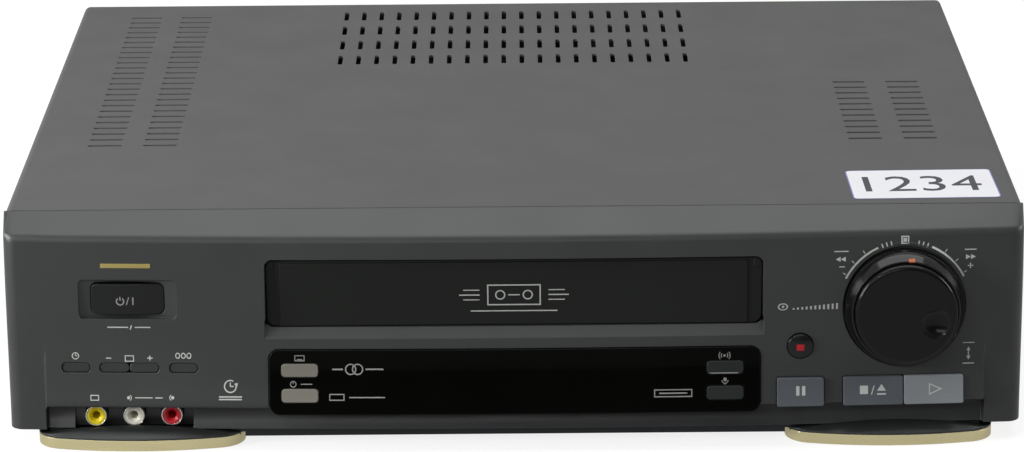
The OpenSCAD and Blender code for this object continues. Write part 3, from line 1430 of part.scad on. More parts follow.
module tension_arm() color([0.6, 0.6, 0.58])
    translate([tension_x, tension_y, deck_top + 4]) {
        difference() {
            union() {
                cylinder(h = 4, r = 4.5);
                translate([0, -2.5, 0]) cube([34, 5, 1.6]);
                translate([34, 0, 0]) cylinder(h = 1.6, r = 2.5);
            }
            translate([0, 0, -1]) cylinder(h = 8, r = 2 + run);
        }
        translate([34, 0, 1.5]) cylinder(h = 20, r = 1.5);
    }

top_cover();
front_panel();
bottom_chassis();
rear_panel();
front_feet();
foot_bands();
rear_feet();
cover_screws();
cassette_door();
door_spring();
display_window();
display_tube();
front_board();
power_button();
timer_button();
channel_down_button();
channel_up_button();
counter_reset_button();
picture_mode_button();
auto_timer_button();
surround_button();
dub_button();
record_button();
pause_button();
stop_eject_button();
play_button();
shuttle_ring();
jog_dial();
front_jack_shells();
jack_ring_yellow();
jack_ring_white();
jack_ring_red();
video_sockets();
aerial_sockets();
rear_audio_jacks();
mains_inlet();
main_board();
power_board();
deck_plate();
carriage_frame();
loading_slider();
cassette_holder();
drum_lower();
drum_upper();
capstan_motor();
capstan();
drive_belt();
clutch_pulley();
idler_arm();
idler_wheel();
supply_reel();
takeup_reel();
pinch_arm();
pinch_roller();
guide_left();
guide_right();
cam_gear();
loading_motor();
tape_heads();
tension_arm();
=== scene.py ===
import json
import math

import bmesh
import bpy
from mathutils import Matrix, Vector
from mathutils.bvhtree import BVHTree


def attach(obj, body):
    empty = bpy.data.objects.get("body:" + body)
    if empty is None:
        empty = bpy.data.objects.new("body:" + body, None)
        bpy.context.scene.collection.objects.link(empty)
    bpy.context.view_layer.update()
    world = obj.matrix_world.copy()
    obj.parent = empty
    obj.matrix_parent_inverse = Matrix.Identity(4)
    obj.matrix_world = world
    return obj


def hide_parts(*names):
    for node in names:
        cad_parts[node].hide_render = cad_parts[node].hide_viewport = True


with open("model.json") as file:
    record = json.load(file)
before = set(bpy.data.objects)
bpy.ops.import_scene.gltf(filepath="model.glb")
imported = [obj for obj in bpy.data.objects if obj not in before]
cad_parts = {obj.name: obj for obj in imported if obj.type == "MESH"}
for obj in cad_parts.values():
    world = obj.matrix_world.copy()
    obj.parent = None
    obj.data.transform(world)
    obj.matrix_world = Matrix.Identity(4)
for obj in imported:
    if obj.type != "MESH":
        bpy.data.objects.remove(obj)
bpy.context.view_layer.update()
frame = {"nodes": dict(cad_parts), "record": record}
nodes = frame["nodes"]

# Camera. It stands in front of the recorder, a little over a metre and a half away, and looks
# down on it by 18 degrees through a long lens, so the sides of the cover hardly converge.
pitch, yaw, roll = math.radians(17.961), math.radians(-0.122), math.radians(-0.505)
forward = Vector((math.sin(yaw) * math.cos(pitch), math.cos(yaw) * math.cos(pitch),
                  -math.sin(pitch)))
level = Vector((math.cos(yaw), -math.sin(yaw), 0))
upright = level.cross(forward)
right = math.cos(roll) * level + math.sin(roll) * upright
up = math.cos(roll) * upright - math.sin(roll) * level
camera_data = bpy.data.cameras.new("camera")
camera_data.lens = 139.91
camera_data.sensor_width = 36
camera_data.sensor_fit = "HORIZONTAL"
camera = bpy.data.objects.new("camera", camera_data)
turn = Matrix((right, up, -forward)).transposed().to_4x4()
camera.matrix_world = Matrix.Translation((0.0026, -1.6343, 0.5684)) @ turn
bpy.context.scene.collection.objects.link(camera)
bpy.context.scene.camera = camera

# Studio. A pale floor and backdrop, with a wide soft lamp overhead, a long one high in front, a
# box on each side, and two small lamps front left that give the face and its keys a soft sheen.
bpy.context.scene.view_settings.view_transform = "Standard"


def lamp(name, at, towards, wide, high, watts):
    data = bpy.data.lights.new(name, "AREA")
    data.shape = "RECTANGLE"
    data.size, data.size_y, data.energy = wide, high, watts
    source = bpy.data.objects.new(name, data)
    aim = (Vector(towards) - Vector(at)).to_track_quat("-Z", "Y").to_matrix().to_4x4()
    source.matrix_world = Matrix.Translation(at) @ aim
    bpy.context.scene.collection.objects.link(source)


lamp("overhead", (0, 0.05, 1.7), (0, 0.05, 0), 2.0, 1.3, 19)
lamp("window", (-0.8, -2.4, 1.15), (-0.05, -0.15, 0.05), 2.2, 0.5, 10)
lamp("left_front", (-1.05, -0.6, 0.42), (-0.1, -0.15, 0.05), 0.35, 0.45, 9)
lamp("bulb", (-0.7, -1.1, 1.0), (0, -0.15, 0.05), 0.09, 0.09, 1.6)
lamp("left_box", (-1.5, -0.3, 0.6), (-0.1, -0.1, 0.05), 0.4, 0.7, 12)
lamp("right_box", (1.5, -0.3, 0.6), (0.1, -0.1, 0.05), 0.4, 0.6, 8)


def combined(tree, operation, first, second):
    """Works out one socket with another, or with a number, and gives the result's socket."""
    step = tree.nodes.new("ShaderNodeMath")
    step.operation = operation
    for end, value in zip(step.inputs, (first, second)):
        if isinstance(value, float):
            end.default_value = value
        else:
            tree.links.new(value, end)
    return step.outputs[0]


def remapped(tree, value, low, high, new_low, new_high, curve="LINEAR"):
    """Takes a socket's value from one range to another, and gives the result's socket."""
    change = tree.nodes.new("ShaderNodeMapRange")
    change.interpolation_type = curve
    for key, limit in (("From Min", low), ("From Max", high),
                       ("To Min", new_low), ("To Max", new_high)):
        change.inputs[key].default_value = limit
    tree.links.new(value, change.inputs["Value"])
    return change.outputs["Result"]


def shown_apart(tree, lighting, shown, ending, glossy_share=1.0):
    """Ends a tree in one shader that lights the scene and another that is seen.

    Camera and transmission rays see the second one, and so does a share of the glossy rays.
    """
    rays = tree.nodes.new("ShaderNodeLightPath").outputs
    glossy = combined(tree, "MULTIPLY", rays["Is Glossy Ray"], glossy_share)
    either = combined(tree, "MAXIMUM", rays["Is Camera Ray"], glossy)
    either = combined(tree, "MAXIMUM", either, rays["Is Transmission Ray"])
    pick = tree.nodes.new("ShaderNodeMixShader")
    out = tree.nodes.new(ending)
    tree.links.new(either, pick.inputs["Fac"])
    tree.links.new(lighting.outputs[0], pick.inputs[1])
    tree.links.new(shown.outputs[0], pick.inputs[2])
    tree.links.new(pick.outputs[0], out.inputs["Surface"])


world = bpy.data.worlds.new("room")
bpy.context.scene.world = world
world.use_nodes = True
tree = world.node_tree
tree.nodes.clear()
room_light = tree.nodes.new("ShaderNodeBackground")
room_light.inputs["Color"].default_value = (0.95, 0.98, 1.0, 1)
room_light.inputs["Strength"].default_value = 0.06
backdrop = tree.nodes.new("ShaderNodeBackground")
direction = tree.nodes.new("ShaderNodeTexCoord")
axes = tree.nodes.new("ShaderNodeSeparateXYZ")
tree.links.new(direction.outputs["Generated"], axes.inputs[0])
# Glossy rays meet a backdrop that darkens towards the front; the camera sees it at full strength.
fade = remapped(tree, axes.outputs["Y"], -0.9, -0.1, 0.2, 1.0, "SMOOTHSTEP")
seen = tree.nodes.new("ShaderNodeLightPath").outputs["Is Camera Ray"]
tree.links.new(combined(tree, "MAXIMUM", fade, seen), backdrop.inputs["Strength"])
shown_apart(tree, room_light, backdrop, "ShaderNodeOutputWorld")

plane = bmesh.new()
bmesh.ops.create_grid(plane, x_segments=1, y_segments=1, size=6)
floor_mesh = bpy.data.meshes.new("floor")
plane.to_mesh(floor_mesh)
plane.free()
floor = bpy.data.objects.new("floor", floor_mesh)
bpy.context.scene.collection.objects.link(floor)
pale = bpy.data.materials.new("pale_floor")
pale.use_nodes = True
tree = pale.node_tree
tree.nodes.clear()
grey = tree.nodes.new("ShaderNodeBsdfDiffuse")
grey.inputs["Color"].default_value = (0.18, 0.18, 0.18, 1)
matt = tree.nodes.new("ShaderNodeBsdfDiffuse")
matt.inputs["Color"].default_value = (0.25, 0.25, 0.25, 1)
lift = tree.nodes.new("ShaderNodeEmission")
lift.inputs["Color"].default_value = (1, 1, 1, 1)
lift.inputs["Strength"].default_value = 0.82
both = tree.nodes.new("ShaderNodeAddShader")
tree.links.new(matt.outputs[0], both.inputs[0])
tree.links.new(lift.outputs[0], both.inputs[1])
shown_apart(tree, grey, both, "ShaderNodeOutputMaterial", glossy_share=0.5)
floor.data.materials.append(pale)

# Top cover. One folded steel shell, painted dark grey with a fine satin texture. It slides on
# from behind and is held by two screws in each side.
weld, sliver = 2e-6, 1e-7  # metres: nearer corners are joined, shorter edges are dissolved
crease = 28  # degrees: edges that bend less are shaded smooth
open_edge = 3.2  # radians, for an edge with one face, which so always stays sharp


def shade(red, green, blue):
    """A colour on screen, from 0 to 255, as the linear one that a shader takes."""
    return tuple((c / 255 / 12.92) if c <= 10 else ((c / 255 + 0.055) / 1.055) ** 2.4
                 for c in (red, green, blue)) + (1,)


def finish(name, colour, rough, grain=0.15, size=0.0004, mottle=0.06, wear=0.12, metal=0.0,
           gloss=0.5, edge=0.0003, stretch=(1, 1, 1)):
    """A finish with grain, uneven sheen, faint mottling, and rounded, slightly worn edges."""
    m = bpy.data.materials.new(name)
    m.use_nodes = True
    t = m.node_tree
    node, link = t.nodes.new, t.links.new
    skin = t.nodes["Principled BSDF"]
    skin.inputs["Metallic"].default_value = metal
    skin.inputs["Specular IOR Level"].default_value = gloss
    place = node("ShaderNodeTexCoord")
    lay = node("ShaderNodeMapping")
    lay.inputs["Scale"].default_value = stretch
    link(place.outputs["Object"], lay.inputs["Vector"])

    def noise(scale, detail):
        n = node("ShaderNodeTexNoise")
        n.inputs["Scale"].default_value = scale
        n.inputs["Detail"].default_value = detail
        link(lay.outputs["Vector"], n.inputs["Vector"])
        return n.outputs["Fac"]

    cloud, speck = noise(35, 5), noise(1 / size, 2)
    round_off = node("ShaderNodeBevel")
    round_off.samples = 4
    round_off.inputs["Radius"].default_value = edge
    true = node("ShaderNodeNewGeometry")
    lean = node("ShaderNodeVectorMath")
    lean.operation = "DOT_PRODUCT"
    link(round_off.outputs["Normal"], lean.inputs[0])
    link(true.outputs["Normal"], lean.inputs[1])
    base = node("ShaderNodeVectorMath")
    base.operation = "SCALE"
    base.inputs[0].default_value = colour[:3]
    link(remapped(t, cloud, 0.3, 0.7, 1 - mottle, 1 + mottle), base.inputs["Scale"])
    worn = node("ShaderNodeMix")
    worn.data_type = "RGBA"
    worn.inputs["B"].default_value = tuple(min(1, c * 1.5 + 0.08) for c in colour[:3]) + (1,)
    link(remapped(t, lean.outputs["Value"], 0.995, 0.8, 0.0, wear), worn.inputs["Factor"])
    link(base.outputs["Vector"], worn.inputs["A"])
    link(worn.outputs["Result"], skin.inputs["Base Color"])
    link(remapped(t, cloud, 0.3, 0.7, rough * 0.88, rough * 1.12), skin.inputs["Roughness"])
    relief = node("ShaderNodeBump")
    relief.inputs["Strength"].default_value = grain
    relief.inputs["Distance"].default_value = size * 0.25
    link(speck, relief.inputs["Height"])
    link(round_off.outputs["Normal"], relief.inputs["Normal"])
    link(relief.outputs["Normal"], skin.inputs["Normal"])
    return m


def add(mesh_in, name, body, material, smooth=None):
    """Makes an object of a bmesh, rides it on its body and gives it its finish."""
    if smooth is not None:
        for f in mesh_in.faces:
            f.smooth = True
        for e in mesh_in.edges:
            e.smooth = e.calc_face_angle(open_edge) < math.radians(smooth)
    mesh = bpy.data.meshes.new(name)
    mesh_in.to_mesh(mesh)
    mesh_in.free()
    piece = bpy.data.objects.new(name, mesh)
    bpy.context.scene.collection.objects.link(piece)
    mesh.materials.append(material)
    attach(piece, body)
    if smooth is not None:
        even = piece.modifiers.new("even_faces", "WEIGHTED_NORMAL")
        even.keep_sharp = True
    return piece


def body_of(name):
    return next(b for b, members in frame["record"]["behaviour"]["bodies"].items()
                if name in members)


def merged(name):
    """A copy of a node's mesh with its loose triangles joined."""
    shell = bmesh.new()
    shell.from_mesh(nodes[name].data)
    bmesh.ops.remove_doubles(shell, verts=shell.verts, dist=weld)
    bmesh.ops.dissolve_degenerate(shell, dist=sliver, edges=shell.edges)
    return shell


def smoothed(name, material, angle=crease):
    """A merged copy of a node, with its curves shaded smooth, that stands for the node."""
    piece = add(merged(name), name + "_shell", body_of(name), material, angle)
    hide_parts(name)
    return piece


cover_paint = finish("cover_paint", shade(88, 89, 88), 0.5, grain=0.22, size=0.0005, mottle=0.02,
                     wear=0.2, gloss=0.05, edge=0.0004)
smoothed("top_cover", cover_paint)

# Stock label. A small white paper label with a thin violet-blue edge, stuck a little askew on the
# cover's right front corner, with plain digits in dark grey.
label_turn = (Matrix.Translation((0.1630, -0.1208, 0.09402))
              @ Matrix.Rotation(math.radians(1.0), 4, "Z"))
ink_film = 0.00002  # metres, the thickness of any print
digit_share = 0.69  # height of the built-in font's digits, as a share of its size
letter_weld = 1e-7  # metres, joins the outline's loose corners


def sheet_finish(name, colour, rough, mottle, gloss, grain=0.05, size=0.0003, edge=0.00002):
    """A finish for paper and ink, which show no wear."""
    return finish(name, colour, rough, grain=grain, size=size, mottle=mottle, wear=0.0,
                  gloss=gloss, edge=edge)


paper = sheet_finish("label_paper", shade(232, 232, 236), 0.55, 0.02, 0.25, grain=0.1,
                     size=0.0008, edge=0.00003)
violet = sheet_finish("label_edge", shade(128, 122, 178), 0.55, 0.05, 0.25, grain=0.1,
                      size=0.0008, edge=0.00003)
ink = sheet_finish("label_ink", shade(66, 68, 74), 0.6, 0.1, 0.2, size=0.0006)


def thickened(sheet, by, **how):
    """Extrudes the faces of a bmesh along a vector."""
    made = bmesh.ops.extrude_face_region(sheet, geom=sheet.faces[:], **how)["geom"]
    bmesh.ops.translate(sheet, vec=by, verts=[v for v in made if isinstance(v, bmesh.types.BMVert)])
    bmesh.ops.recalc_face_normals(sheet, faces=sheet.faces)


def rounded_card(wide, high, corner, thick, place):
    card = bmesh.new()
    bmesh.ops.create_grid(card, x_segments=1, y_segments=1, size=0.5,
                          matrix=Matrix.Diagonal((wide, high, 1, 1)))
    bmesh.ops.bevel(card, geom=card.verts[:], offset=corner, offset_type="OFFSET",
                    affect="VERTICES", segments=6, profile=0.5, material=-1)
    thickened(card, (0, 0, thick))
    bmesh.ops.transform(card, matrix=place, verts=card.verts)
    return card


add(rounded_card(0.0585, 0.0375, 0.002, 0.00006, label_turn), "stock_label_edge", "case", violet)
add(rounded_card(0.0575, 0.0366, 0.0017, 0.00009, label_turn), "stock_label", "case", paper)


def lettering(words, high, spacing, place):
    """Plain letters of the built-in font, as thick as a print."""
    text = bpy.data.curves.new("digits", "FONT")
    text.body = words
    text.size = high / digit_share
    text.space_character = spacing
    text.align_x = "CENTER"
    text.align_y = "CENTER"
    text.resolution_u = 3
    text.extrude = ink_film / 2
    made = bpy.data.objects.new("digits", text)
    bpy.context.scene.collection.objects.link(made)
    bpy.context.view_layer.update()
    shape = bmesh.new()
    shape.from_mesh(made.to_mesh())
    made.to_mesh_clear()
    bpy.data.objects.remove(made)
    bpy.data.curves.remove(text)
    bmesh.ops.remove_doubles(shape, verts=shape.verts, dist=letter_weld)
    bmesh.ops.transform(shape, matrix=place, verts=shape.verts)
    return shape


digits = lettering("1234", 0.0195, 1.02,
                   label_turn @ Matrix.Translation((-0.0022, -0.0009, 0.00010))
                   @ Matrix.Diagonal((0.92, 1, 1, 1)))
add(digits, "stock_label_digits", "case", ink)

# Front panel. One moulding in dark grey ABS with a fine spark texture: rolled top edge, bowed face,
# flared lower half, undercut lip. It hooks over the chassis hem and clips to the floor. The power
# key's scoop, a pocket with a hollowed floor, is carved here, because the CAD's mesh lacks it.
panel_plastic = finish("panel_plastic", shade(56, 58, 57), 0.34, grain=0.25, size=0.0003,
                       mottle=0.03, wear=0.12, gloss=0.36, edge=0.0005)
scoop_x, scoop_z, scoop_turn = -0.1515, 0.0616, math.radians(-2.4)
scoop_wide, scoop_high, scoop_corner = 0.0384, 0.0160, 0.002
scoop_deep, scoop_edge = 0.0030, 0.0010  # how far its middle and its ends lie behind the face
just_past = 0.53  # of the scoop's width, from its middle to just outside its ends
pocket_deep, pocket_back = 0.018, 0.008
barrel_high, barrel_steps = 0.03, 400
quarter = math.radians(90)
in_front = -0.4  # a Y in front of every piece, where rays start


def carved(shell, cutter, how="DIFFERENCE"):
    """Cuts one shape with another and gives back the result."""
    pair = []
    for shape in (shell, cutter):
        mesh = bpy.data.meshes.new("carving")
        shape.to_mesh(mesh)
        shape.free()
        pair.append(bpy.data.objects.new("carving", mesh))
        bpy.context.scene.collection.objects.link(pair[-1])
    knife = pair[0].modifiers.new("knife", "BOOLEAN")
    knife.operation, knife.object, knife.solver = how, pair[1], "EXACT"
    bpy.context.view_layer.update()
    result = bmesh.new()
    result.from_object(pair[0], bpy.context.evaluated_depsgraph_get())
    for spare in pair:
        bpy.data.meshes.remove(spare.data)
    return result


def surface_of(name):
    mesh = nodes[name].data
    return BVHTree.FromPolygons([v.co for v in mesh.vertices],
                                [tuple(p.vertices) for p in mesh.polygons])


def front_at(surface, x, z):
    """The Y at which a surface is met from the front."""
    return surface.ray_cast(Vector((x, in_front, z)), Vector((0, 1, 0)))[0].y


face = surface_of("front_panel")
beside = [front_at(face, scoop_x + side * scoop_wide * just_past, scoop_z) for side in (-1, 1)]
scoop_y = sum(beside) / 2
dip = scoop_deep - scoop_edge
scoop_radius = ((scoop_wide / 2) ** 2 + dip ** 2) / (2 * dip)
barrel = bmesh.new()
bmesh.ops.create_cone(barrel, cap_ends=True, segments=barrel_steps, radius1=scoop_radius,
                      radius2=scoop_radius, depth=barrel_high,
                      matrix=Matrix.Translation((scoop_x, scoop_y, scoop_z))
                      @ Matrix.Rotation(scoop_turn, 4, "Z")
                      @ Matrix.Translation((0, scoop_deep - scoop_radius, 0)))
pocket = rounded_card(scoop_wide, scoop_high, scoop_corner, pocket_deep,
                      Matrix.Translation((scoop_x, scoop_y + pocket_back, scoop_z))
                      @ Matrix.Rotation(quarter, 4, "X"))
panel = add(carved(merged("front_panel"), carved(pocket, barrel, "INTERSECT")),
            "front_panel_shell", "case", panel_plastic, crease)
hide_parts("front_panel")

# Printed marks. Pale grey ink, padded on in one pass; each mark is a thin film that follows the
# surface under it. Words and names are left off, and plain signs stand in their places.
white_ink = sheet_finish("panel_ink", shade(196, 198, 194), 0.55, 0.08, 0.3)
arc_step = 9  # degrees
# How far a three-sided disc of radius 1 is wide and high.
arrow_wide, arrow_high = 1.732, 1.5


def flat_at(x, z, wide, high, turned=0.0):
    """Millimetres on the front, seen from the front, turned clockwise."""
    return (Matrix.Translation((x / 1000, 0, z / 1000))
            @ Matrix.Rotation(math.radians(turned), 4, "Y") @ Matrix.Rotation(quarter, 4, "X")
            @ Matrix.Diagonal((wide / 1000, high / 1000, 1, 1)))


def strip(film, x, z, wide, high, turned=0.0, reach=1.5):
    """A bar, divided along its length so that it can follow a bowed surface."""
    cuts = max(1, math.ceil(max(wide, high) / reach))
    bmesh.ops.create_grid(film, x_segments=cuts if wide >= high else 1,
                          y_segments=cuts if high > wide else 1, size=0.5,
                          matrix=flat_at(x, z, wide, high, turned))


def dot(film, x, z, radius):
    bmesh.ops.create_circle(film, cap_ends=True, segments=20, radius=1,
                            matrix=flat_at(x, z, radius, radius))


def arrow(film, x, z, wide, high, turned):
    bmesh.ops.create_circle(film, cap_ends=True, segments=3, radius=1,
                            matrix=flat_at(x, z, wide / arrow_wide, high / arrow_high, turned))


def arc(film, x, z, radius, wide, start=0, stop=360, oval=1.0):
    """A band round (x, z), from start to stop in degrees anticlockwise from the right."""
    around = Vector((x / 1000, 0, z / 1000))
    ends = []
    for half in (-wide / 2, wide / 2):
        at = (x / 1000 + (radius + half) / 1000, 0, z / 1000)
        ends.append(bmesh.ops.create_vert(film, co=at)["vert"][0])
    bmesh.ops.rotate(film, cent=around, matrix=Matrix.Rotation(-math.radians(start), 3, "Y"),
                     verts=ends)
    edge = film.edges.new(tuple(ends))
    sweep = stop - start
    bmesh.ops.spin(film, geom=[edge], cent=around, axis=(0, 1, 0), angle=-math.radians(sweep),
                   steps=max(6, int(sweep / arc_step)), use_merge=sweep >= 360)
    if oval != 1.0:
        fresh = {v for f in film.faces for v in f.verts
                 if (v.co - around).length < (radius + wide) / 1000}
        bmesh.ops.scale(film, vec=(1, 1, oval), verts=list(fresh),
                        space=Matrix.Translation(-around))


def outline(film, x, z, wide, high, line):
    for side in (-1, 1):
        strip(film, x, z + side * (high - line) / 2, wide, line)
        strip(film, x + side * (wide - line) / 2, z, line, high - 2 * line)


def printed(film, name, under, material=white_ink, lift=0.00005):
    """Lays flat marks on the front of a node, and gives them the thickness of the ink."""
    bmesh.ops.triangulate(film, faces=[f for f in film.faces if len(f.verts) > 4])
    surface = surface_of(under)
    for v in film.verts:
        v.co.y = front_at(surface, v.co.x, v.co.z) - lift
    film.normal_update()
    bmesh.ops.reverse_faces(film, faces=[f for f in film.faces if f.normal.y > 0])
    thickened(film, (0, -ink_film, 0), use_keep_orig=True)
    add(film, name, body_of(under), material)


marks = bmesh.new()
# Under the power key: a short rule with a gap. Over the timer key: a clock.
strip(marks, -155.6, 50.4, 8.2, 0.5)
strip(marks, -145.8, 50.4, 6.2, 0.5)
strip(marks, -150.4, 50.4, 0.45, 1.9, 18)
arc(marks, -172.7, 38.6, 1.25, 0.36)
strip(marks, -172.7, 39.1, 0.3, 0.9)
strip(marks, -172.4, 38.6, 0.7, 0.3)
# Over the channel keys: minus, a screen, plus. Over the counter key: noughts in a row.
strip(marks, -159.6, 37.8, 2.1, 0.42)
outline(marks, -151.4, 37.7, 3.6, 2.5, 0.36)
strip(marks, -143.3, 37.9, 2.1, 0.42)
strip(marks, -143.3, 38.5, 0.42, 0.75)
strip(marks, -143.3, 37.3, 0.42, 0.75)
for step in (-1, 0, 1):
    arc(marks, -130.1 + step * 2.2, 38.9, 0.8, 0.36, oval=1.25)
# Over the jacks: a screen, a small speaker cone on each side of a rule.
outline(marks, -165.4, 22.3, 3.4, 2.2, 0.36)
dot(marks, -152.0, 22.4, 0.62)
arc(marks, -152.0, 22.4, 1.15, 0.3, -60, 60)
strip(marks, -146.0, 22.4, 7.0, 0.36)
dot(marks, -134.6, 22.5, 0.62)
arc(marks, -134.6, 22.5, 1.15, 0.3, 120, 240)
strip(marks, -140.0, 22.4, 3.0, 0.36)
# Right of the jacks: a clock with an arrow round it, over a double rule.
arc(marks, -111.8, 26.9, 2.3, 0.5, 60, 390)
arrow(marks, -109.4, 27.6, 1.5, 1.4, 165)
strip(marks, -111.8, 27.6, 0.42, 1.6)
strip(marks, -111.2, 26.9, 1.4, 0.42)
strip(marks, -111.8, 22.9, 9.0, 0.5)
strip(marks, -111.8, 21.9, 9.0, 0.5)
printed(marks, "left_marks", "front_panel")

# Dial scale. An arc round the shuttle ring with a square at the top, double arrows and signs at
# its ends, and a rising scale to its left.
dial_x, dial_z = 152.9, 56.4
arc_radius, tick_radius = 26.0, 27.4
marks = bmesh.new()
for start, stop in ((27, 66), (114, 153)):
    arc(marks, dial_x, dial_z, arc_radius, 0.75, start, stop)
for bearings, radius, wide, high in (((70, 74, 78, 102, 106, 110), arc_radius, 0.5, 1.7),
                                     ((30, 42, 54, 126, 138, 150), tick_radius, 0.35, 1.3)):
    for bearing in bearings:
        strip(marks, dial_x + radius * math.cos(math.radians(bearing)),
              dial_z + radius * math.sin(math.radians(bearing)), wide, high, 90 - bearing)
outline(marks, dial_x, 83.1, 3.1, 3.1, 0.5)
strip(marks, dial_x, 83.1, 1.5, 1.5)
for x, way in ((127.0, -90), (129.0, -90), (177.4, 90), (179.4, 90)):
    arrow(marks, x, 75.9, 2.0, 1.9, way)
strip(marks, 128.2, 72.9, 2.2, 0.42)
strip(marks, 178.6, 72.4, 2.2, 0.42)
strip(marks, 178.6, 73.05, 0.42, 0.85)
strip(marks, 178.6, 71.75, 0.42, 0.85)
strip(marks, 127.9, 79.0, 5.6, 0.42)
strip(marks, 178.6, 78.8, 4.6, 0.42)
# Between the dial and the record key: a disc, then a wedge of rising bars.
arc(marks, 105.2, 57.2, 1.75, 0.55, oval=0.72)
dot(marks, 105.2, 57.2, 0.5)
for step in range(11):
    strip(marks, 109.4 + step * 1.7, 56.3 + step * 0.085, 0.75, 0.7 + step * 0.17)
# Right of the dial: a double-headed arrow between two short rules.
strip(marks, 178.5, 41.0, 4.6, 0.36)
strip(marks, 178.5, 32.8, 4.6, 0.36)
arrow(marks, 178.5, 38.4, 1.6, 1.5, 0)
strip(marks, 178.5, 36.8, 0.4, 2.0)
arrow(marks, 178.5, 35.2, 1.6, 1.5, 180)
printed(marks, "dial_marks", "front_panel")

# Badge. A slim gold-coloured bar, with nothing on it, stuck on the panel over the power key.
gold = finish("badge_gold", shade(196, 178, 112), 0.3, grain=0.06, size=0.0003, mottle=0.04,
              wear=0.1, metal=0.85, edge=0.0002)
print_weld = 1e-5  # metres, joins the lengths of one print
marks = bmesh.new()
for step in range(14):
    strip(marks, -151.9 + (step - 6.5) * 1.4, 75.3, 1.4, 1.7)
bmesh.ops.remove_doubles(marks, verts=marks.verts, dist=print_weld)
printed(marks, "gold_bar", "front_panel", gold, lift=0.00012)

# Cassette door. A flat black flap with a satin raised middle, hinged on two pins behind its top
# corners and closed by a small coil spring. It carries one printed sign, a cassette from above.
door_plastic = finish("door_plastic", shade(33, 35, 33), 0.34, grain=0.12, size=0.0004,
                      mottle=0.04, wear=0.22, gloss=0.12, edge=0.0006)
smoothed("cassette_door", door_plastic)
marks = bmesh.new()
outline(marks, 0, 62.2, 21, 8.6, 0.5)
for side in (-1, 1):
    arc(marks, side * 5.4, 62.2, 1.75, 0.5)
    strip(marks, side * 17.5, 62.2, 8.0, 0.5)
    strip(marks, side * 16.7, 60.2, 6.4, 0.4)
    strip(marks, side * 16.7, 64.2, 6.4, 0.4)
strip(marks, 0, 62.2, 4.6, 0.45)
strip(marks, 0, 55.6, 34, 0.45)
printed(marks, "door_sign", "cassette_door")

spring_steel = finish("spring_steel", shade(168, 168, 170), 0.3, grain=0.1, size=0.0003, metal=1.0,
                      stretch=(4, 1, 1))
smoothed("door_spring", spring_steel)

# Display window. One pane of smoked acrylic, polished, bent over the panel's lip and clipped into
# its opening. It is so dark that the display tube behind it does not show.
smoked = finish("smoked_acrylic", shade(7, 7, 6), 0.07, grain=0.0, size=0.0008, mottle=0.2,
                wear=0.35, gloss=0.04, edge=0.0006)
smoothed("display_window", smoked)
grey_ink = sheet_finish("window_ink", shade(150, 150, 146), 0.5, 0.08, 0.3)
marks = bmesh.new()
# Left half: a picture frame and a clock over the keys, two linked rings and a rule beside them.
outline(marks, -84.4, 38.1, 4.0, 2.4, 0.34)
strip(marks, -84.4, 37.6, 2.0, 0.4)
arc(marks, -87.0, 27.9, 1.1, 0.32)
strip(marks, -87.0, 28.3, 0.28, 0.75)
strip(marks, -81.8, 27.9, 4.6, 0.34)
for side in (-1, 1):
    arc(marks, -63.0 + side * 1.35, 33.7, 2.0, 0.5)
strip(marks, -55.0, 33.7, 7.0, 0.6)
strip(marks, -69.5, 33.7, 4.2, 0.6)
outline(marks, -69.9, 22.9, 6.0, 2.6, 0.4)
strip(marks, -58.0, 22.8, 14.0, 0.45)
# Right half: sound waves and a microphone over the keys.
dot(marks, 82.4, 37.9, 0.5)
for radius in (1.3, 2.2):
    arc(marks, 82.4, 37.9, radius, 0.34, -40, 40)
    arc(marks, 82.4, 37.9, radius, 0.34, 140, 220)
strip(marks, 82.6, 28.5, 1.2, 1.3)
arc(marks, 82.6, 28.2, 1.2, 0.3, 180, 360)
strip(marks, 82.6, 26.8, 0.3, 0.6)
outline(marks, 62.2, 23.5, 15.0, 3.0, 0.4)
strip(marks, 62.2, 23.5, 11.0, 0.5)
printed(marks, "window_marks", "display_window", grey_ink)

# Keys in the window: two warm grey ones on the left, two dark ones on the right, each a moulded
# cap that stands a little proud of the pane.
pale_key = finish("pale_key", shade(122, 119, 110), 0.38, grain=0.1, size=0.0003, mottle=0.04,
                  wear=0.25, gloss=0.4, edge=0.0006)
dark_key = finish("dark_key", shade(40, 43, 43), 0.36, grain=0.12, size=0.0003, mottle=0.04,
                  wear=0.3, gloss=0.2, edge=0.0006)
for name in ("picture_mode_button", "auto_timer_button"):
    smoothed(name, pale_key)
for name in ("surround_button", "dub_button"):
    smoothed(name, dark_key)
marks = bmesh.new()
strip(marks, 82.6, 31.15, 13.2, 0.4)
printed(marks, "surround_line", "surround_button", grey_ink)

# Power key. A crowned gloss-black cap in a scoop of the panel, with the on and standby signs.
gloss_black = finish("gloss_black", shade(16, 17, 19), 0.24, grain=0.03, size=0.0006, mottle=0.1,
                     wear=0.25, gloss=0.3, edge=0.0007)
smoothed("power_button", gloss_black)
marks = bmesh.new()
arc(marks, -154.3, 60.9, 1.45, 0.5, 125, 415)
strip(marks, -154.3, 62.0, 0.5, 1.5)
strip(marks, -151.4, 61.0, 0.42, 3.4, 18)
strip(marks, -149.3, 61.0, 0.55, 3.2)
printed(marks, "power_sign", "power_button", grey_ink)

# Bar keys: timer, channel down and up, and counter reset. Slim dark caps set back in their slots,
# whose rounded ends catch the light.
bar_plastic = finish("bar_plastic", shade(44, 46, 46), 0.3, grain=0.08, size=0.0003, mottle=0.05,
                     wear=0.55, gloss=0.5, edge=0.0009)
for name in ("timer_button", "channel_down_button", "channel_up_button", "counter_reset_button"):
    smoothed(name, bar_plastic)

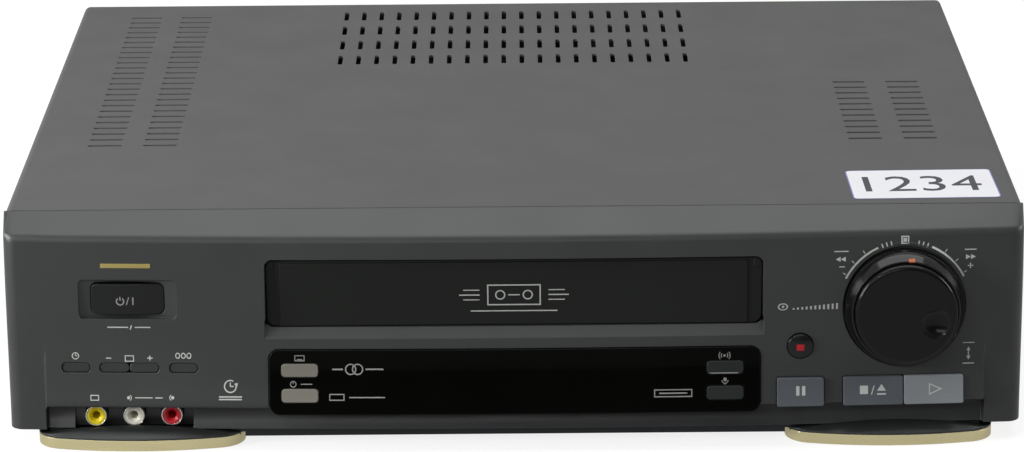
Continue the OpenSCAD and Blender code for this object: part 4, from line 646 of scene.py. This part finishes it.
# Transport keys and the record key. The caps of pause, stop and eject, and play stand proud of the
# flare; play is a shade lighter. Record is a small glossy dome with a red block.
transport_grey = finish("transport_grey", shade(84, 88, 94), 0.34, grain=0.12, size=0.0003,
                        mottle=0.04, wear=0.25, gloss=0.5, edge=0.0005)
play_grey = finish("play_grey", shade(136, 141, 144), 0.34, grain=0.12, size=0.0003, mottle=0.04,
                   wear=0.25, gloss=0.5, edge=0.0005)
smoothed("pause_button", transport_grey)
smoothed("stop_eject_button", transport_grey)
smoothed("play_button", play_grey)
smoothed("record_button", gloss_black)
marks = bmesh.new()
for side in (-1, 1):
    strip(marks, 112.3 + side * 1.15, 23.9, 1.3, 3.6)
printed(marks, "pause_sign", "pause_button")
marks = bmesh.new()
strip(marks, 137.2, 23.8, 3.2, 3.2)
strip(marks, 140.7, 23.7, 0.4, 3.6, 18)
arrow(marks, 144.1, 24.2, 3.6, 2.6, 0)
strip(marks, 144.1, 22.1, 3.6, 0.6)
printed(marks, "stop_eject_sign", "stop_eject_button")
marks = bmesh.new()
arrow(marks, 164.6, 23.6, 4.6, 5.4, 90)
rim = bmesh.ops.inset_individual(marks, faces=marks.faces[:], thickness=0.0005,
                                 use_even_offset=True)
inside = [f for f in marks.faces if f not in set(rim["faces"])]
bmesh.ops.delete(marks, geom=inside, context="FACES")
printed(marks, "play_sign", "play_button")
record_red = sheet_finish("record_red", shade(196, 28, 40), 0.4, 0.05, 0.4, grain=0.03)
marks = bmesh.new()
strip(marks, 112.2, 40.3, 3.0, 1.5)
strip(marks, 112.2, 41.4, 3.0, 1.5)
printed(marks, "record_sign", "record_button", record_red)

# Shuttle ring and jog dial. The ring is gloss black and springs back to its orange index; the dial
# is satin black with a polished finger dimple, and turns without end on the encoder's shaft.
ring_black = finish("ring_black", shade(8, 8, 7), 0.12, grain=0.0, size=0.0006, mottle=0.1,
                    wear=0.2, gloss=0.3, edge=0.0006)
dial_black = finish("dial_black", shade(12, 13, 13), 0.16, grain=0.03, size=0.0005, mottle=0.08,
                    wear=0.2, gloss=0.2, edge=0.0006)
round_crease = 40  # degrees: a wider limit, for their rounded rims
smoothed("shuttle_ring", ring_black, round_crease)
smoothed("jog_dial", dial_black, round_crease)
orange = sheet_finish("index_orange", shade(176, 80, 36), 0.4, 0.06, 0.4, grain=0.03)
marks = bmesh.new()
for step in (-1, 0, 1):
    strip(marks, 154.7, 77.7 + step * 0.4, 2.4, 0.4, reach=0.3)
bmesh.ops.remove_doubles(marks, verts=marks.verts, dist=print_weld)
printed(marks, "index_mark", "shuttle_ring", orange, lift=0.0001)

# Front jacks. Three nickel-plated shells with coloured inserts, in a bay under the lip.
nickel = finish("nickel", shade(196, 194, 186), 0.22, grain=0.04, size=0.0003, mottle=0.05,
                wear=0.1, metal=1.0, edge=0.0003)
smoothed("front_jack_shells", nickel)
for name, colour in (("jack_ring_yellow", shade(245, 222, 24)),
                     ("jack_ring_white", shade(242, 240, 224)),
                     ("jack_ring_red", shade(206, 30, 46))):
    smoothed(name, finish(name + "_plastic", colour, 0.32, grain=0.05, size=0.0003, mottle=0.04,
                          wear=0.12, gloss=0.5, edge=0.0004))

# Front feet. Black moulded feet with a domed ledge, each with a band of gold-plated plastic
# pressed round its edge. The rear feet are plain rubber buttons.
foot_plastic = finish("foot_plastic", shade(40, 42, 42), 0.34, grain=0.08, size=0.0004,
                      mottle=0.05, wear=0.15, gloss=0.45, edge=0.0006)
smoothed("front_feet", foot_plastic)
band_gold = finish("band_gold", shade(226, 215, 168), 0.26, grain=0.05, size=0.0004, mottle=0.05,
                   wear=0.1, metal=0.9, edge=0.0003, stretch=(1, 1, 6))
smoothed("foot_bands", band_gold)
foot_rubber = finish("foot_rubber", shade(24, 24, 25), 0.8, grain=0.4, size=0.0006, mottle=0.1,
                     wear=0.1, gloss=0.3)
smoothed("rear_feet", foot_rubber)

# Chassis, rear panel and screws. Bent sheet steel, the chassis with a dark plating and the rear
# panel zinc-plated; the screws that hold the cover to the chassis are blackened.
zinc = finish("zinc_plate", shade(150, 152, 150), 0.38, grain=0.12, size=0.0012, mottle=0.12,
              wear=0.15, metal=0.9, edge=0.0003)
chassis_dark = finish("chassis_plate", shade(42, 44, 46), 0.42, grain=0.12, size=0.0012,
                      mottle=0.1, wear=0.15, metal=0.6, edge=0.0003)
black_screw = finish("black_screw", shade(52, 52, 54), 0.35, grain=0.1, size=0.0004, metal=0.9,
                     wear=0.3)


def dress(name, material):
    """Gives a carried-over node its finish."""
    nodes[name].data.materials.clear()
    nodes[name].data.materials.append(material)


dress("bottom_chassis", chassis_dark)
dress("rear_panel", zinc)
smoothed("cover_screws", black_screw)

# Rear sockets. Two 21-pin video sockets and the mains inlet in black plastic, aerial sockets and
# audio jacks in bright nickel.
socket_black = finish("socket_black", shade(34, 34, 35), 0.45, grain=0.2, size=0.0004, mottle=0.06,
                      wear=0.2, gloss=0.4)
smoothed("video_sockets", socket_black)
smoothed("mains_inlet", socket_black)
smoothed("aerial_sockets", nickel)
smoothed("rear_audio_jacks", nickel)

# Boards. Brown phenolic boards and a green coated one, with copper that shows faintly through the
# coat. Their parts are black, taped or tinned steel. The display tube stands on the front board.


def board(name, colour, track):
    """A board's finish, with a net of copper between the cells of a square-cornered pattern."""
    m = finish(name, colour, 0.5, grain=0.15, size=0.0008, mottle=0.08, wear=0.05, gloss=0.4)
    t = m.node_tree
    skin = t.nodes["Principled BSDF"]
    plain = skin.inputs["Base Color"].links[0].from_socket
    place = t.nodes.new("ShaderNodeTexCoord")
    distances = []
    for feature in ("F2", "F1"):
        copper = t.nodes.new("ShaderNodeTexVoronoi")
        copper.distance = "MANHATTAN"
        copper.feature = feature
        copper.inputs["Scale"].default_value = 190
        t.links.new(place.outputs["Object"], copper.inputs["Vector"])
        distances.append(copper.outputs["Distance"])
    lines = remapped(t, combined(t, "SUBTRACT", *distances), 0.16, 0.2, 0.7, 0.0)
    both = t.nodes.new("ShaderNodeMix")
    both.data_type = "RGBA"
    both.inputs["B"].default_value = track
    t.links.new(lines, both.inputs["Factor"])
    t.links.new(plain, both.inputs["A"])
    t.links.new(both.outputs["Result"], skin.inputs["Base Color"])
    return m


brown_board = board("brown_board", shade(128, 98, 58), shade(150, 122, 76))
green_board = board("green_board", shade(46, 92, 58), shade(84, 132, 88))
sleeve = finish("part_sleeve", shade(30, 33, 42), 0.4, grain=0.05, size=0.0004, mottle=0.05,
                wear=0.1, gloss=0.4)
tape = finish("winding_tape", shade(188, 160, 92), 0.5, grain=0.1, size=0.0004, mottle=0.06,
              wear=0.0, gloss=0.35)


def populated(name, bare, parts):
    """A board whose parts take finishes of their own, by the box in millimetres they lie in."""
    piece = smoothed(name, bare)
    for low, high, material in parts:
        piece.data.materials.append(material)
        for f in piece.data.polygons:
            if all(a / 1000 < c < b / 1000 for a, c, b in zip(low, f.center, high)):
                f.material_index = len(piece.data.materials) - 1


populated("front_board", brown_board, (
    ((-200, -152, 0), (200, -144, 90), sleeve),
    ((134, -152, 44), (172, -144, 69), zinc),
    ((134, -142, 44), (172, -138, 69), zinc)))
populated("power_board", brown_board, (
    ((-200, 60, 15.7), (-110, 150, 60), sleeve),
    ((-190, -25, 15.7), (-138, 39, 60), tape),
    ((-190, -16.4, 15.7), (-138, 30.6, 60), black_screw),
    ((-135, -40, 15.7), (-120, -5, 60), zinc)))
populated("main_board", green_board, (
    ((-50, -130, 15.7), (200, 150, 60), sleeve),
    ((30, 110, 15.7), (115, 160, 70), zinc)))
tube_glass = finish("tube_glass", shade(70, 84, 84), 0.1, grain=0.0, size=0.0008, mottle=0.1,
                    wear=0.1, gloss=0.8)
dress("display_tube", tube_glass)

# Tape deck. A die-cast plate carries the tilted head drum, the capstan and its motor, the reels
# and their idler, the loading guides, the cam gear with its motor, the heads and the arms. The
# carriage stands over it in pressed steel.
cast_alloy = finish("cast_alloy", shade(158, 160, 162), 0.42, grain=0.35, size=0.0009, mottle=0.08,
                    wear=0.1, metal=0.9)
turned_alloy = finish("turned_alloy", shade(200, 202, 206), 0.16, grain=0.25, size=0.0004,
                      mottle=0.04, wear=0.1, metal=1.0, stretch=(0.15, 0.15, 6))
ground_steel = finish("ground_steel", shade(190, 192, 196), 0.14, grain=0.15, size=0.0003,
                      mottle=0.05, wear=0.1, metal=1.0, stretch=(0.2, 0.2, 5))
acetal = finish("acetal", shade(222, 220, 208), 0.45, grain=0.1, size=0.0005, mottle=0.04,
                wear=0.1, gloss=0.4)
black_acetal = finish("black_acetal", shade(34, 34, 35), 0.4, grain=0.1, size=0.0005, mottle=0.06,
                      wear=0.15, gloss=0.4)
belt_rubber = finish("belt_rubber", shade(26, 26, 27), 0.75, grain=0.4, size=0.0004, mottle=0.1,
                     wear=0.1, gloss=0.3)
for names, material in (
        (("deck_plate", "drum_lower", "tape_heads"), cast_alloy),
        (("drum_upper",), turned_alloy),
        (("capstan", "guide_left", "guide_right"), ground_steel),
        (("capstan_motor", "loading_motor", "pinch_arm", "carriage_frame", "loading_slider",
          "cassette_holder"), zinc),
        (("clutch_pulley", "cam_gear", "tension_arm"), acetal),
        (("idler_arm", "supply_reel", "takeup_reel"), black_acetal),
        (("idler_wheel", "pinch_roller", "drive_belt"), belt_rubber)):
    for name in names:
        smoothed(name, material)
